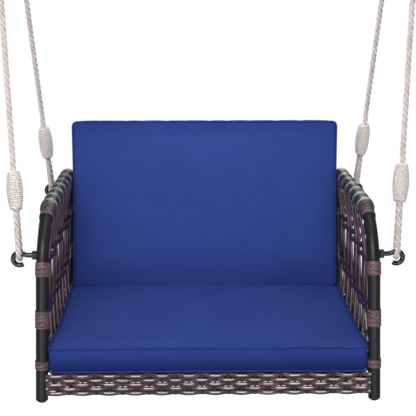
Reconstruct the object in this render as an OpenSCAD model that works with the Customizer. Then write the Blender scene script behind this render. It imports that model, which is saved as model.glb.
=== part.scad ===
// Single-seat hanging porch swing.
// Two arched tube side frames carry a woven cane seat, two cushions and four
// hooks. A rope with a lashed eye at each end runs from every hook to its own
// eye bolt in the ceiling. X runs across the seat, Y from its front to its back
// and Z up. The origin is in the plane of the ceiling, midway between the four
// eye bolts. LEFT and RIGHT are as someone in front of the seat sees it.

/* [Side frames] */
// Diameter of the arched tubes
tube_d = 25; // [23:0.5:27]
// Wall of all the tubes
tube_wall = 1.5; // [1:0.1:2]
// Half the distance between the two frames' axes, at the feet
post_x = 341.5; // [325:0.5:380]
// Inward lean of each side frame, in degrees
frame_lean = 1.75; // [0.5:0.05:3]
// Distance from the front post to the rear post
frame_depth = 585; // [570:1:640]
// Height of the arm's axis where the front bend ends
arm_h = 377; // [370:1:430]
// Fall of the arm towards the back, in degrees
arm_fall = 1; // [0:0.1:3]
// Radius of the front bend
front_bend_r = 125; // [100:1:150]
// Radius of the rear bend
rear_bend_r = 70; // [50:1:90]
// Diameter of the welded rail between the feet of a side frame
rail_d = 16; // [12:1:18]
// Height of that rail's axis
rail_h = 43; // [40:1:60]
// Height of the round foot plug below the tube's end
plug_dome = 7; // [4:0.5:10]

/* [Canes and weave] */
// Diameter of the round canes
cane_d = 6; // [4:0.25:7]
// Canes in each side panel
side_canes = 7; // [5:1:7]
// Distance between canes along the arm
cane_pitch = 62; // [50:1:64]
// Distance of the first cane from the front post
first_cane = 116; // [100:1:118]
// Height of one flat weaver strip
strip_h = 8.6; // [6:0.1:10]
// Thickness of a weaver strip
strip_t = 1.6; // [1:0.1:2]
// Gap between neighbouring strips
strip_gap = 0.4; // [0.3:0.1:1]
// Sideways pull of each cane towards its pair at the upper tie row
cane_pull = 9; // [0:1:14]
// Distance between the stakes of the front apron
stake_pitch = 27; // [22:1:34]
// Diameter of the apron's stakes
stake_d = 5; // [4:0.25:6]

/* [Seat and back frames] */
// Diameter of the seat frame's and the back frame's tubes
seat_tube_d = 19; // [16:0.5:20]
// Diameter of the apron's lower rail
apron_rail_d = 12; // [10:0.5:14]
// Height of the apron from top to bottom
apron_h = 46; // [38:0.5:48]
// Width of a steel slat under the deck
slat_w = 30; // [20:1:40]
// Thickness of a slat
slat_t = 3; // [2:0.25:4]
// Thickness of the woven deck
deck_t = 3.4; // [2.5:0.1:5]
// Distance from the front posts' axis to the seat's rear rail
seat_depth = 534; // [500:1:550]
// Recline of the back, in degrees
recline = 8; // [4:0.25:10]
// Height of the back frame above its bottom rail, along the back
back_h = 398; // [350:1:440]
// Radius of the back frame's upper corners
back_corner_r = 60; // [40:1:80]
// Canes in the back
back_canes = 10; // [6:1:11]

/* [Cushions] */
// Gap between the seat cushion and each side panel
seat_cushion_side_gap = 2.5; // [1:0.5:20]
// Gap between the seat cushion and the canes of the back
seat_cushion_rear_gap = 1.5; // [1:0.5:20]
// Overhang of the seat cushion in front of the front posts' axis
seat_cushion_overhang = 12; // [8:0.5:14]
// Thickness of the seat cushion at its edge
seat_cushion_t = 55; // [40:1:60]
// Crown of the seat cushion above its edge
seat_crown = 6; // [5:0.5:12]
// Gap between the back cushion and each side panel, at the height of the seat
back_cushion_side_gap = 9.5; // [9:0.5:30]
// Height of the back cushion
back_cushion_h = 378; // [340:1:400]
// Thickness of the back cushion at its edge
back_cushion_t = 95; // [70:1:100]
// Crown of the back cushion above its edge
back_crown = 9; // [5:0.5:12]
// Depth of the dent that each arm presses into the back cushion
arm_dent = 7; // [6.5:0.5:10]
// Diameter of the piping round the cushions
welt_d = 5; // [3:0.5:7]

/* [Hooks and fasteners] */
// Diameter of the hooks' rod
hook_d = 10; // [8:0.5:10]
// Radius of a hook's loop, at the middle of the rod
hook_r = 12.5; // [12.5:0.25:16]
// Distance from the tube's surface to the middle of a hook's loop
hook_reach = 34; // [32:0.5:42]
// Rise of a hook's rod from the nut to the top of its loop
hook_rise = 4; // [2:0.5:6]
// Height of the front hooks' rod on the post
front_hook_h = 300; // [295:1:320]
// Height of the rear hooks' rod on the post
rear_hook_h = 326; // [315:1:335]
// Width across the flats of a hook's nut
hook_nut_af = 16; // [15:0.5:18]
// Height of a hook's nut
hook_nut_h = 8; // [6:0.5:9]
// Diameter of the frame bolts
bolt_d = 6; // [5:0.5:7]
// Diameter of a frame bolt's head
bolt_head_d = 11; // [10:0.5:13]

/* [Ropes and ceiling] */
// Diameter of the ropes
rope_d = 12; // [10:0.5:12]
// Gap between a rope's eye and the rod in it
eye_gap = 0.5; // [0.4:0.1:0.6]
// Half the distance between the left and right ceiling eyes
ceiling_x = 424; // [410:1:440]
// Half the distance between the front and rear ceiling eyes
ceiling_y = 155; // [140:1:170]
// Distance of the ceiling eyes' middle behind the front posts
hang_y = 313; // [290:0.5:330]
// Height of the ceiling above the frame's feet
ceiling_h = 953; // [930:1:1000]
// Radius of a ceiling eye, at the middle of its rod
ring_r = 14; // [13.5:0.25:18]
// Diameter of a ceiling eye's collar
collar_d = 26; // [22:1:32]
// Thickness of that collar
collar_t = 5; // [4:0.5:8]
// Diameter of a ceiling eye's shank
shank_d = 10; // [8:0.5:12]
// Length of that shank
shank_l = 50; // [40:1:80]
// Length of a rope's lashing
lash_l = 80; // [70:1:82]
// Turns of cord in a lashing
lash_turns = 17; // [14:1:17]
// Diameter of the lashing's cord
lash_d = 3.9; // [3.4:0.1:4]

/* [Hidden] */

$fn = 48;
LEFT = -1;
RIGHT = 1;
touch = 0.3;            // gap between two pieces that lie against each other
weld = 0.6;             // how far a welded rail reaches into the tube's wall
seam = 0.2;             // half the length of the seam between a straight and a bend
seam_rise = 0.05;       // how far the seam's bead stands off the rod or tube
tube_r = tube_d / 2;
cane_r = cane_d / 2;
rope_r = rope_d / 2;

// The curve of the arm, in the plane of a side frame: y back, z up.
front_centre = [front_bend_r, arm_h - front_bend_r * cos(arm_fall)];
arm_start = front_centre + front_bend_r * [sin(arm_fall), cos(arm_fall)];
rear_centre_y = frame_depth - rear_bend_r;
arm_run = rear_centre_y + rear_bend_r * sin(arm_fall) - arm_start[0];
rear_centre = [rear_centre_y, arm_h - arm_run * tan(arm_fall) - rear_bend_r * cos(arm_fall)];
arm_end = rear_centre + rear_bend_r * [sin(arm_fall), cos(arm_fall)];
arm_length = norm(arm_end - arm_start);

// Height of the arch's axis at a distance y from the front post
function arch_z(y) =
    y < arm_start[0] ? front_centre[1] + sqrt(pow(front_bend_r, 2) - pow(front_bend_r - y, 2))
    : y < arm_end[0] ? arm_h - (y - arm_start[0]) * tan(arm_fall)
    : rear_centre[1] + sqrt(pow(rear_bend_r, 2) - pow(y - rear_centre[0], 2));
// Distance of the arch's rear axis from the front post at a height z
function rear_arch_y(z) =
    z < rear_centre[1] ? frame_depth
    : rear_centre[0] + sqrt(pow(rear_bend_r, 2) - pow(z - rear_centre[1], 2));

// Distance of the front axis from the foot of the front post at a height z
function front_arch_y(z) =
    z < front_centre[1] ? 0
    : front_bend_r - sqrt(pow(front_bend_r, 2) - pow(z - front_centre[1], 2));

// A point of a side frame's plane in the seat's coordinates.
// x is outwards from the plane, y back, z up along the post.
function side_point(side, p) = [
    side * (post_x + p[0] * cos(frame_lean) - p[2] * sin(frame_lean)),
    p[1],
    p[0] * sin(frame_lean) + p[2] * cos(frame_lean)
];

// Hangs what is modelled from the feet up below the origin in the ceiling
module hung() {
    translate([0, -hang_y, -ceiling_h]) children();
}

// Stands its children in the plane of a side frame, x outwards
module on_side(side) {
    hung()
        mirror([side == LEFT ? 1 : 0, 0, 0])
            translate([post_x, 0, 0])
                rotate([0, -frame_lean, 0]) children();
}

// ---------------------------------------------------------------- side frames

// A hollow tube standing on the origin
module pipe(d, length) {
    difference() {
        cylinder(d = d, h = length);
        translate([0, 0, -1]) cylinder(d = d - 2 * tube_wall, h = length + 2);
    }
}

// A hollow bend in the YZ plane about the X axis, from one angle to another
module bend(d, radius, from, to) {
    short = seam / radius * 180 / PI;
    rotate([90, 0, 90])
        rotate([0, 0, from + short])
            rotate_extrude(angle = to - from - 2 * short, $fn = 96)
                translate([radius, 0])
                    difference() {
                        circle(d = d);
                        circle(d = d - 2 * tube_wall);
                    }
}

// The bead that joins a straight to a bend, standing on its middle
module seam_ring() {
    translate([0, 0, -0.5])
        difference() {
            cylinder(d = tube_d + 2 * seam_rise, h = 1);
            translate([0, 0, -1]) cylinder(d = tube_d - 2 * tube_wall - 2 * seam_rise, h = 3);
        }
}

hook_hole_d = hook_d + 4;
bolt_hole_d = bolt_d + 3.2;
front_hook_y = front_arch_y(front_hook_h);
rear_hook_y = rear_arch_y(rear_hook_h);
// Where the hooks go through the tubes, [y, z]
hook_points = [[front_hook_y, front_hook_h], [rear_hook_y, rear_hook_h]];
insert_l = 15;
rivet_l = 12;

// Height along a leaning post at which a level line h up meets its inner wall
function wall_h(h) = (h + tube_r * sin(frame_lean)) / cos(frame_lean);

module side_frame(side) {
    color("#1b1c1e") on_side(side)
        difference() {
            union() {
                pipe(tube_d, front_centre[1] - seam);
                translate([0, frame_depth, 0]) pipe(tube_d, rear_centre[1] - seam);
                translate([0, front_centre[0], front_centre[1]])
                    bend(tube_d, front_bend_r, 90 - arm_fall, 180);
                translate([0, rear_centre[0], rear_centre[1]])
                    bend(tube_d, rear_bend_r, 0, 90 - arm_fall);
                translate([0, arm_start[0], arm_start[1]])
                    rotate([-90 - arm_fall, 0, 0]) {
                        translate([0, 0, seam]) pipe(tube_d, arm_length - 2 * seam);
                        for (z = [0, arm_length]) translate([0, 0, z]) seam_ring();
                    }
                translate([0, 0, front_centre[1]]) seam_ring();
                translate([0, frame_depth, rear_centre[1]]) seam_ring();
                side_rail();
            }
            for (p = hook_points)
                translate([0, p[0], p[1]])
                    rotate([0, 90, 0]) cylinder(d = hook_hole_d + 0.1, h = tube_d);
            for (y = [0, frame_depth])
                translate([0, y, wall_h(rail_h)])
                    rotate([0, -90, 0]) cylinder(d = bolt_hole_d + touch, h = tube_d);
            translate([0, back_bolt_y, wall_h(back_bolt_seat[2])])
                rotate([0, -90, 0]) cylinder(d = bolt_hole_d + touch, h = tube_d);
        }
}

// The rail welded between the feet, coped to the round of both posts
module side_rail() {
    difference() {
        translate([0, 0, rail_h]) rotate([-90, 0, 0]) pipe(rail_d, frame_depth);
        for (y = [0, frame_depth])
            translate([0, y, rail_h - rail_d]) cylinder(r = tube_r - weld, h = 2 * rail_d);
    }
}

plug_flange = 1.5;

module foot_plugs() {
    color("#111214")
        for (side = [LEFT, RIGHT], y = [0, frame_depth])
            on_side(side) translate([0, y, 0]) foot_plug();
}

// A ribbed insert inside the tube, with a round foot below it
module foot_plug() {
    plug_r = tube_r - tube_wall - 0.15;
    dome_r = (pow(tube_r, 2) + pow(plug_dome, 2)) / (2 * plug_dome);
    rotate_extrude()
        difference() {
            union() {
                translate([0, -touch - plug_flange]) square([tube_r, plug_flange]);
                translate([0, -touch - plug_flange - 0.01]) square([plug_r, 16]);
                for (z = [3, 7, 11])
                    translate([0, z]) square([plug_r + 0.1, 1.5]);
                intersection() {
                    translate([0, dome_r - plug_dome - touch - plug_flange]) circle(r = dome_r);
                    translate([0, -plug_dome - touch - plug_flange]) square([tube_r, plug_dome]);
                }
            }
            translate([-tube_d, -tube_d]) square([tube_d, 3 * tube_d]);
        }
}

// ------------------------------------------------------- canes of a side panel

// A closed tube swept along points that lie near one plane. The side vector
// stands across that plane.
function unit(v) = v / norm(v);
function tangent(path, i) =
    unit(path[min(i + 1, len(path) - 1)] - path[max(i - 1, 0)]);
function ring_points(path, i, across, r, sides) =
    let (
        t = tangent(path, i),
        n = unit(cross(across, t)),
        b = cross(t, n)
    )
    [for (k = [0:sides - 1]) path[i] + r * (cos(360 * k / sides) * n + sin(360 * k / sides) * b)];

module swept_tube(path, across, r, sides) {
    rings = len(path);
    points = [for (i = [0:rings - 1]) each ring_points(path, i, across, r, sides)];
    side_faces = [
        for (i = [0:rings - 2], k = [0:sides - 1])
            let (
                a = i * sides + k,
                b = i * sides + (k + 1) % sides,
                c = a + sides,
                d = b + sides
            )
            each [[a, b, d], [a, d, c]]
    ];
    start_cap = [for (k = [1:sides - 2]) [0, k + 1, k]];
    last = (rings - 1) * sides;
    end_cap = [for (k = [1:sides - 2]) [last, last + k, last + k + 1]];
    polyhedron(points, concat(side_faces, start_cap, end_cap), convexity = 6);
}

// Heights of the tie rows up a side panel, and the strips in each of them
tie_rows = [[64, 2], [152, 4], [front_hook_h - 40, 3]];
strip_step = strip_h + strip_gap;
// Heights where a cane runs straight, just below and just above a row
function row_foot(row) = row[0] - 3;
function row_head(row) = row[0] + row[1] * strip_step + 3;

// Canes go round a tube in straight stretches of this many degrees
wrap_step = 30;
rail_wrap_r = (rail_d / 2 + cane_r + 0.1) / cos(wrap_step / 2);
arm_wrap_r = (tube_r + cane_r + 0.1) / cos(wrap_step / 2);
pinch = cane_r + 0.3;
tie_reach = pinch + cane_r + strip_t / 2 + 0.1;
upper_reach = tie_reach / cos(180 * cane_pull / cane_pitch) + 0.4;

cane_ys = [for (k = [0:side_canes - 1]) first_cane + k * cane_pitch];
// A cane's two strands lean opposite ways, and cross between the tie rows
function pulled(k, inside) = inside * cane_pull * (k % 2 == 0 ? 1 : -1);

// Points on an arc about (x, z), from one angle to another
function arc_points(r, y, z, from, to, rise = 1) =
    let (n = round(abs(to - from) / wrap_step))
    [for (i = [0:n]) let (a = from + (to - from) * i / n) [r * cos(a), y, z + r * rise * sin(a)]];
function mirrored(points) = [for (p = points) [-p[0], p[1], p[2]]];
function reversed(list) = [for (i = [len(list) - 1:-1:0]) list[i]];

// One cane: from under the rail, up inside the panel, over the arm and down
// outside it
function cane_path(k) =
    let (
        y = cane_ys[k],
        top = arch_z(y),
        steep = abs(arch_z(y + 1) - arch_z(y - 1)) / 2,
        low = arc_points(rail_wrap_r, y, rail_h, 262, 180)
    )
    concat(
        low,
        reversed(pinched(y, pulled(k, -1), -1)),
        arc_points(arm_wrap_r, y, top, 180, 0, sqrt(1 + pow(steep, 2))),
        pinched(y, pulled(k, 1), 1),
        reversed(mirrored(low))
    );
// A strand between the strips, from above the upper row to below the middle one
function pinched(y, pull, side) = [
    [side * pinch, y + pull, row_head(tie_rows[2])],
    [side * pinch, y + pull, row_foot(tie_rows[2])],
    [side * pinch, y, row_head(tie_rows[1])],
    [side * pinch, y, row_foot(tie_rows[1])]
];

module canes(side) {
    color("#4a3438") on_side(side)
        for (k = [0:side_canes - 1])
            swept_tube(cane_path(k), [0, 1, 0], cane_r, 6);
}

// ------------------------------------------------------------- woven tie rows

// A strip's middle line, in and out round the uprights at ys. The first
// upright is passed on the side that start_side gives.
function wave_x(ys, i, y, start_side, reach) =
    start_side * (i % 2 == 0 ? 1 : -1) * reach * cos(180 * (y - ys[i]) / (ys[i + 1] - ys[i]));
function weave_line(ys, ends, start_side, reach, steps) =
    let (
        n = len(ys),
        last_side = start_side * ((n - 1) % 2 == 0 ? 1 : -1)
    )
    concat(
        [for (j = [0:steps - 1])
            [start_side * reach * sin(90 * j / steps), ends[0] + (ys[0] - ends[0]) * j / steps]],
        [for (i = [0:n - 2], j = [0:steps - 1])
            let (y = ys[i] + (ys[i + 1] - ys[i]) * j / steps)
            [wave_x(ys, i, y, start_side, reach), y]],
        [for (j = [0:steps])
            [last_side * reach * cos(90 * j / steps), ys[n - 1] + (ends[1] - ys[n - 1]) * j / steps]]
    );
function shifted(line, i, offset) =
    let (t = unit(line[min(i + 1, len(line) - 1)] - line[max(i - 1, 0)]))
    line[i] + offset * [t[1], -t[0]];

// A flat strip on edge that follows a line, z up
module strip(line, height = strip_h) {
    linear_extrude(height)
        polygon(concat(
            [for (i = [0:len(line) - 1]) shifted(line, i, strip_t / 2)],
            [for (i = [len(line) - 1:-1:0]) shifted(line, i, -strip_t / 2)]
        ));
}

band_r = tube_r + touch / 3 + 2;

module side_weave(side) {
    color("#3d2c31") on_side(side)
        for (row = [0:len(tie_rows) - 1], s = [0:tie_rows[row][1] - 1])
            translate([0, 0, tie_rows[row][0] + s * strip_step])
                strip(weave_line(
                    cane_ys,
                    [
                        front_arch_y(tie_rows[row][0] + (s + 1) * strip_step) + band_r + touch,
                        frame_depth - band_r - touch
                    ],
                    s % 2 == 0 ? 1 : -1,
                    [tie_reach_low, tie_reach, upper_reach][row],
                    5
                ));
}
// The lowest row lies where the canes still spread towards the rail
function spread_reach(wrap_r, from, at, to) =
    tie_reach + 0.3 + (wrap_r - pinch) * (to - at) / (to - from);
tie_reach_low = spread_reach(rail_wrap_r, rail_h, tie_rows[0][0], row_foot(tie_rows[1]));

// --------------------------------------------- wraps on the arm and the posts

wrap_t = 2;
// Where the wrap begins on the front bend, as an angle from the level
wrap_from = 115;

// A stretch of wrapped strip on the straight arm, drawn up against the canes
module wrap_saddle(length) {
    r_in = tube_r + 0.1;
    r_mid = tube_r + wrap_t;
    r_end = tube_r + cane_d - 0.6;
    rotate_extrude()
        polygon([
            [r_in, 0], [r_end, 0], [r_end, 4], [r_mid + 0.8, 10], [r_mid, 16],
            [r_mid, length - 16], [r_mid + 0.8, length - 10], [r_end, length - 4],
            [r_end, length], [r_in, length]
        ]);
}

module arm_wrap(side) {
    color("#3c3d36") on_side(side) {
        // the bend, cut where a cane crosses it
        difference() {
            translate([0, front_centre[0], front_centre[1]])
                rotate([90, 0, 90]) {
                    rotate([0, 0, 90 - arm_fall])
                        rotate_extrude(angle = wrap_from - 90 + arm_fall, $fn = 96)
                            translate([front_bend_r, 0])
                                difference() {
                                    circle(r = tube_r + wrap_t);
                                    circle(r = tube_r + 0.1);
                                }
                    for (k = [0:2])
                        rotate([0, 0, wrap_from + 0.4 + 2.1 * k])
                            rotate_extrude(angle = 1.7, $fn = 96)
                                translate([front_bend_r, 0])
                                    difference() {
                                        circle(r = tube_r + wrap_t + 0.4);
                                        circle(r = tube_r + 0.1);
                                    }
                }
            for (k = [0:side_canes - 1])
                if (cane_ys[k] < arm_start[0] + cane_d)
                    translate([-tube_d, cane_ys[k] - cane_r - touch, rail_h])
                        cube([2 * tube_d, cane_d + 2 * touch, arm_h]);
        }
        // the straight arm, one stretch between each two canes
        for (k = [1:side_canes - 1]) {
            from = max(cane_ys[k - 1] + cane_r + touch, arm_start[0] + touch);
            to = cane_ys[k] - cane_r - touch;
            if (to - from > 34)
                translate([0, from, arch_z(from)])
                    rotate([-90 - arm_fall, 0, 0])
                        wrap_saddle((to - from) / cos(arm_fall));
        }
        last = cane_ys[side_canes - 1] + cane_r + touch;
        translate([0, last, arch_z(last)])
            rotate([-90 - arm_fall, 0, 0])
                pipe_sleeve(tube_r + 0.1, tube_r + wrap_t, max(arm_end[0] - last, 4));
    }
}

module pipe_sleeve(r_in, r_out, length) {
    difference() {
        cylinder(r = r_out, h = length);
        translate([0, 0, -1]) cylinder(r = r_in, h = length + 2);
    }
}

// Strip ends wound round the posts where each tie row meets them
module post_bands(side) {
    color("#5b4044") on_side(side) {
        for (y = [0, frame_depth], row = tie_rows)
            if (y > 0 || row[0] + row[1] * strip_step < front_centre[1])
                translate([0, y, row[0]])
                    rotate_extrude() polygon(band_profile(row[1]));
        // the uppermost turns in front go round the bend
        turn = strip_step / front_bend_r * 180 / PI;
        first_turn = asin((tie_rows[2][0] - front_centre[1]) / front_bend_r);
        translate([0, front_centre[0], front_centre[1]])
            rotate([90, 0, 90])
                for (s = [1:tie_rows[2][1]])
                    rotate([0, 0, 180 - first_turn - s * turn])
                        rotate_extrude(angle = turn - 0.2, $fn = 96)
                            translate([front_bend_r, 0])
                                difference() {
                                    circle(r = band_r);
                                    circle(r = tube_r + 0.1);
                                }
    }
}
function band_profile(turns) = concat(
    [[tube_r + 0.1, 0]],
    [for (s = [0:turns - 1]) each [
        [band_r - 0.9, s * strip_step], [band_r, s * strip_step + 1.6],
        [band_r, s * strip_step + strip_h - 1.6], [band_r - 0.9, s * strip_step + strip_h]
    ]],
    [[tube_r + 0.1, (turns - 1) * strip_step + strip_h]]
);

// ------------------------------------------------------- seat frame and apron

// Space that the canes of the side panels take up inside the posts
panel_inner_x = side_point(RIGHT, [-rail_wrap_r - cane_r, 0, rail_h])[0];
seat_tube_r = seat_tube_d / 2;
seat_rail_x = panel_inner_x - 2.6 - seat_tube_r;
seat_rail_z = rail_h;
front_rail_y = 16.2;
deck_z = seat_rail_z + seat_tube_r + 0.1;
apron_top = deck_z + deck_t;
apron_bottom = apron_top - apron_h;
apron_rail_z = apron_bottom + apron_rail_d / 2 + 0.8;
apron_leg_x = 280;
apron_leg_w = 8;
// The apron's stakes stand in front of its rail and of the frame bolts' heads
stake_y = -10.6;
strip_back = stake_y + stake_d / 2 + 0.1 + strip_t;
apron_rail_y = strip_back + touch + apron_rail_d / 2;
// The deck and the side rails start behind the woven strips
deck_front = strip_back + touch;
seat_rail_l = frame_depth + seat_tube_r - deck_front;

module cross_rail(d, y, z) {
    difference() {
        translate([-seat_rail_x, y, z]) rotate([0, 90, 0]) pipe(d, 2 * seat_rail_x);
        for (side = [LEFT, RIGHT])
            translate([side * seat_rail_x, -seat_tube_d, seat_rail_z])
                rotate([-90, 0, 0]) cylinder(r = seat_tube_r - weld, h = seat_rail_l + 2 * seat_tube_d);
    }
}

back_bolt_x = 200;

module seat_frame() {
    color("#1b1c1e") hung()
        difference() {
            union() {
                for (side = [LEFT, RIGHT])
                    translate([side * seat_rail_x, deck_front, seat_rail_z])
                        rotate([-90, 0, 0]) pipe(seat_tube_d, seat_rail_l);
                cross_rail(seat_tube_d, front_rail_y, seat_rail_z);
                cross_rail(seat_tube_d, seat_depth, seat_rail_z);
                // the apron's lower rail hangs on short legs
                translate([-seat_rail_x, apron_rail_y, apron_rail_z])
                    rotate([0, 90, 0]) pipe(apron_rail_d, 2 * seat_rail_x);
                for (x = [-apron_leg_x, 0, apron_leg_x])
                    translate([x - apron_leg_w / 2, apron_rail_y + 3, apron_rail_z + 4])
                        cube([apron_leg_w, front_rail_y - apron_rail_y - 6, seat_rail_z - apron_rail_z - 9.5]);
            }
            for (side = [LEFT, RIGHT], y = [0, frame_depth])
                translate([side * seat_rail_x, y, seat_rail_z])
                    rotate([0, 90, 0]) cylinder(d = bolt_d + 0.3, h = 2 * seat_tube_d, center = true);
            for (x = [-back_bolt_x, back_bolt_x])
                translate([x, seat_depth, seat_rail_z])
                    cylinder(d = bolt_d + 0.3, h = 2 * seat_tube_d, center = true);
        }
}

module seat_slats() {
    color("#1b1c1e") hung()
        for (x = [-160, 0, 160])
            translate([x - slat_w / 2, front_rail_y + seat_tube_r + touch, deck_z - 0.1 - slat_t])
                cube([slat_w, seat_depth - front_rail_y - seat_tube_d - 2 * touch, slat_t]);
}

module seat_deck() {
    color("#3d2c31") hung()
        translate([-seat_rail_x - seat_tube_r, deck_front, deck_z])
            cube([2 * (seat_rail_x + seat_tube_r), seat_depth - seat_tube_r - deck_front, deck_t]);
}

// The apron: stakes on the rails' front, with strips woven in and out of them
apron_half = seat_rail_x + 10.5;
stake_count = floor(2 * apron_half / stake_pitch);
stake_xs = [for (k = [0:stake_count - 1]) (k - (stake_count - 1) / 2) * stake_pitch];
apron_rows = 5;

module apron_stakes() {
    color("#3d2c31") hung()
        for (x = stake_xs)
            translate([x, stake_y, apron_bottom]) cylinder(d = stake_d, h = apron_h, $fn = 24);
}

module apron_weave() {
    row_step = (apron_h - 1) / apron_rows;
    color("#4a3438") hung()
        for (s = [0:apron_rows - 1])
            translate([0, stake_y, apron_bottom + 0.5 + s * row_step])
                rotate([0, 0, -90])
                    strip(
                        weave_line(
                            stake_xs, [-apron_half - 3.5, apron_half + 3.5],
                            s % 2 == 0 ? 1 : -1,
                            stake_d / 2 + strip_t / 2 + 0.1,
                            4
                        ),
                        row_step - 0.35
                    );
}

// ------------------------------------------------------------------ the back

back_foot_z = seat_rail_z + seat_tube_d + 0.1;
back_x = seat_rail_x - seat_tube_d - 1;

// Stands its children in the plane of the back: x across, y back, z up along it
module on_back() {
    hung()
        translate([0, seat_depth, back_foot_z])
            rotate([-recline, 0, 0]) children();
}
// Seat coordinates of a point of the back's plane
function back_point(p) = [
    p[0],
    seat_depth + p[1] * cos(recline) + p[2] * sin(recline),
    back_foot_z + p[2] * cos(recline) - p[1] * sin(recline)
];

// The back is bolted to the arch where the two cross
function back_cross(h) = back_point([0, 0, h])[1] - rear_arch_y(back_point([0, 0, h])[2]);
function cross_h(low, high, n) =
    n == 0 ? (low + high) / 2
    : back_cross((low + high) / 2) < 0 ? cross_h((low + high) / 2, high, n - 1)
    : cross_h(low, (low + high) / 2, n - 1);
back_bolt_h = cross_h(0, back_h, 24);
back_bolt_seat = back_point([0, 0, back_bolt_h]);
back_bolt_y = back_bolt_seat[1];
back_bolt_z = back_bolt_seat[2] / cos(frame_lean);

module back_frame() {
    color("#1b1c1e")
        difference() {
            on_back()
                union() {
                    for (side = [LEFT, RIGHT]) {
                        translate([side * back_x, 0, 0]) pipe(seat_tube_d, back_h - back_corner_r);
                        translate([side * (back_x - back_corner_r), 0, back_h - back_corner_r])
                            mirror([side == LEFT ? 1 : 0, 0, 0])
                                rotate([90, 0, 0])
                                    rotate_extrude(angle = 90, $fn = 96)
                                        translate([back_corner_r, 0])
                                            difference() {
                                                circle(d = seat_tube_d);
                                                circle(d = seat_tube_d - 2 * tube_wall);
                                            }
                    }
                    translate([-back_x + back_corner_r, 0, back_h])
                        rotate([0, 90, 0]) pipe(seat_tube_d, 2 * (back_x - back_corner_r));
                    difference() {
                        translate([-back_x, 0, 0]) rotate([0, 90, 0]) pipe(seat_tube_d, 2 * back_x);
                        for (side = [LEFT, RIGHT])
                            translate([side * back_x, 0, -seat_tube_d]) cylinder(r = seat_tube_r - weld, h = 2 * seat_tube_d);
                    }
                }
            hung() {
                for (x = [-back_bolt_x, back_bolt_x])
                    translate([x, seat_depth, back_foot_z])
                        cylinder(d = bolt_d + 0.3, h = 2 * seat_tube_d, center = true);
                for (side = [LEFT, RIGHT])
                    translate([side * back_x, back_bolt_y, back_bolt_seat[2]])
                        rotate([0, 90, 0]) cylinder(d = bolt_d + 0.3, h = 2 * seat_tube_d, center = true);
            }
        }
}

back_cane_xs = [for (k = [0:back_canes - 1])
    (k - (back_canes - 1) / 2) * (2 * (back_x - back_corner_r)) / (back_canes - 1)];
back_rows = [[90, 2], [200, 4], [305, 3]];
back_wrap_r = (seat_tube_r + cane_r + 0.1) / cos(wrap_step / 2);

// One cane of the back: the same loop as a side panel's, in the YZ plane
function turned(points, x) = [for (p = points) [x, p[0], p[2]]];
function back_cane_path(x) =
    let (
        low = arc_points(back_wrap_r, 0, 0, 200, 180),
        straight = [[-pinch, 0, row_foot(back_rows[1])], [-pinch, 0, row_head(back_rows[2])]]
    )
    turned(concat(
        low,
        straight,
        arc_points(back_wrap_r, 0, back_h, 180, 0),
        reversed(mirrored(straight)),
        reversed(mirrored(low))
    ), x);

module back_canes() {
    color("#4a3438") on_back()
        for (x = back_cane_xs)
            swept_tube(back_cane_path(x), [1, 0, 0], cane_r, 6);
}

module back_weave() {
    color("#3d2c31") on_back()
        for (row = [0:len(back_rows) - 1], s = [0:back_rows[row][1] - 1])
            translate([0, 0, back_rows[row][0] + s * strip_step])
                rotate([0, 0, -90])
                    strip(weave_line(
                        back_cane_xs,
                        [-back_x + seat_tube_r + touch, back_x - seat_tube_r - touch],
                        s % 2 == 0 ? 1 : -1,
                        row == 0 ? back_reach_low : tie_reach,
                        5
                    ));
}
back_reach_low = spread_reach(back_wrap_r, 0, back_rows[0][0], row_foot(back_rows[1]));

// ----------------------------------------------------------------- fasteners

washer_t = 1.6;
head_h = 3.3;
rivet_flange = 1;

// Inner surface of the post beside the seat's rail
post_inner_x = side_point(RIGHT, [-tube_r, 0, rail_h])[0];
back_inner_x = side_point(RIGHT, [-tube_r, 0, back_bolt_z])[0];

// Button-head bolt along -x, its head's seat at the origin
module button_bolt(length) {
    rotate([0, 90, 0]) cylinder(d = bolt_d, h = length);
    rotate([0, -90, 0])
        rotate_extrude()
            intersection() {
                square([bolt_head_d / 2, head_h]);
                translate([0, head_h - bolt_head_d / 1.2]) circle(d = 2 * bolt_head_d / 1.2);
            }
}

// Places a bolt, a rivet nut or a spacer on the line through a rail and a post
module at_seat_bolts() {
    for (side = [LEFT, RIGHT], y = [0, frame_depth])
        hung() mirror([side == LEFT ? 1 : 0, 0, 0])
            translate([0, y, rail_h]) children();
}
module at_back_bolts() {
    for (side = [LEFT, RIGHT])
        hung() mirror([side == LEFT ? 1 : 0, 0, 0])
            translate([0, back_bolt_y, back_bolt_seat[2]]) children();
}

module frame_bolts() {
    color("#2a2b2d") {
        at_seat_bolts()
            translate([seat_rail_x - seat_tube_r - 0.1, 0, 0])
                button_bolt(post_inner_x - seat_rail_x + seat_tube_r + 10);
        at_back_bolts()
            translate([back_x - seat_tube_r - 0.1, 0, 0])
                button_bolt(back_inner_x - back_x + seat_tube_r + 10);
    }
}

// Threaded sleeve with a thin flange, set in the tube's inner wall
module rivet_nut() {
    rotate([0, 90, 0])
        difference() {
            union() {
                translate([0, 0, -rivet_flange - touch]) cylinder(d = bolt_hole_d + 3, h = rivet_flange);
                translate([0, 0, -rivet_flange / 2 - touch]) cylinder(d = bolt_hole_d, h = rivet_l);
            }
            translate([0, 0, -3]) cylinder(d = bolt_d + 0.1, h = rivet_l + 6);
        }
}

module rivet_nuts() {
    color("#b9bcc0") {
        at_seat_bolts() translate([post_inner_x, 0, 0]) rivet_nut();
        at_back_bolts() translate([back_inner_x, 0, 0]) rivet_nut();
    }
}

spacer_r = 5.4;

// A round spacer from one tube to the rivet nut's flange in the other
module spacer(from, to) {
    rotate([0, 90, 0])
        translate([0, 0, from])
            pipe_sleeve(bolt_d / 2 + 0.15, spacer_r, to - from);
}

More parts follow.
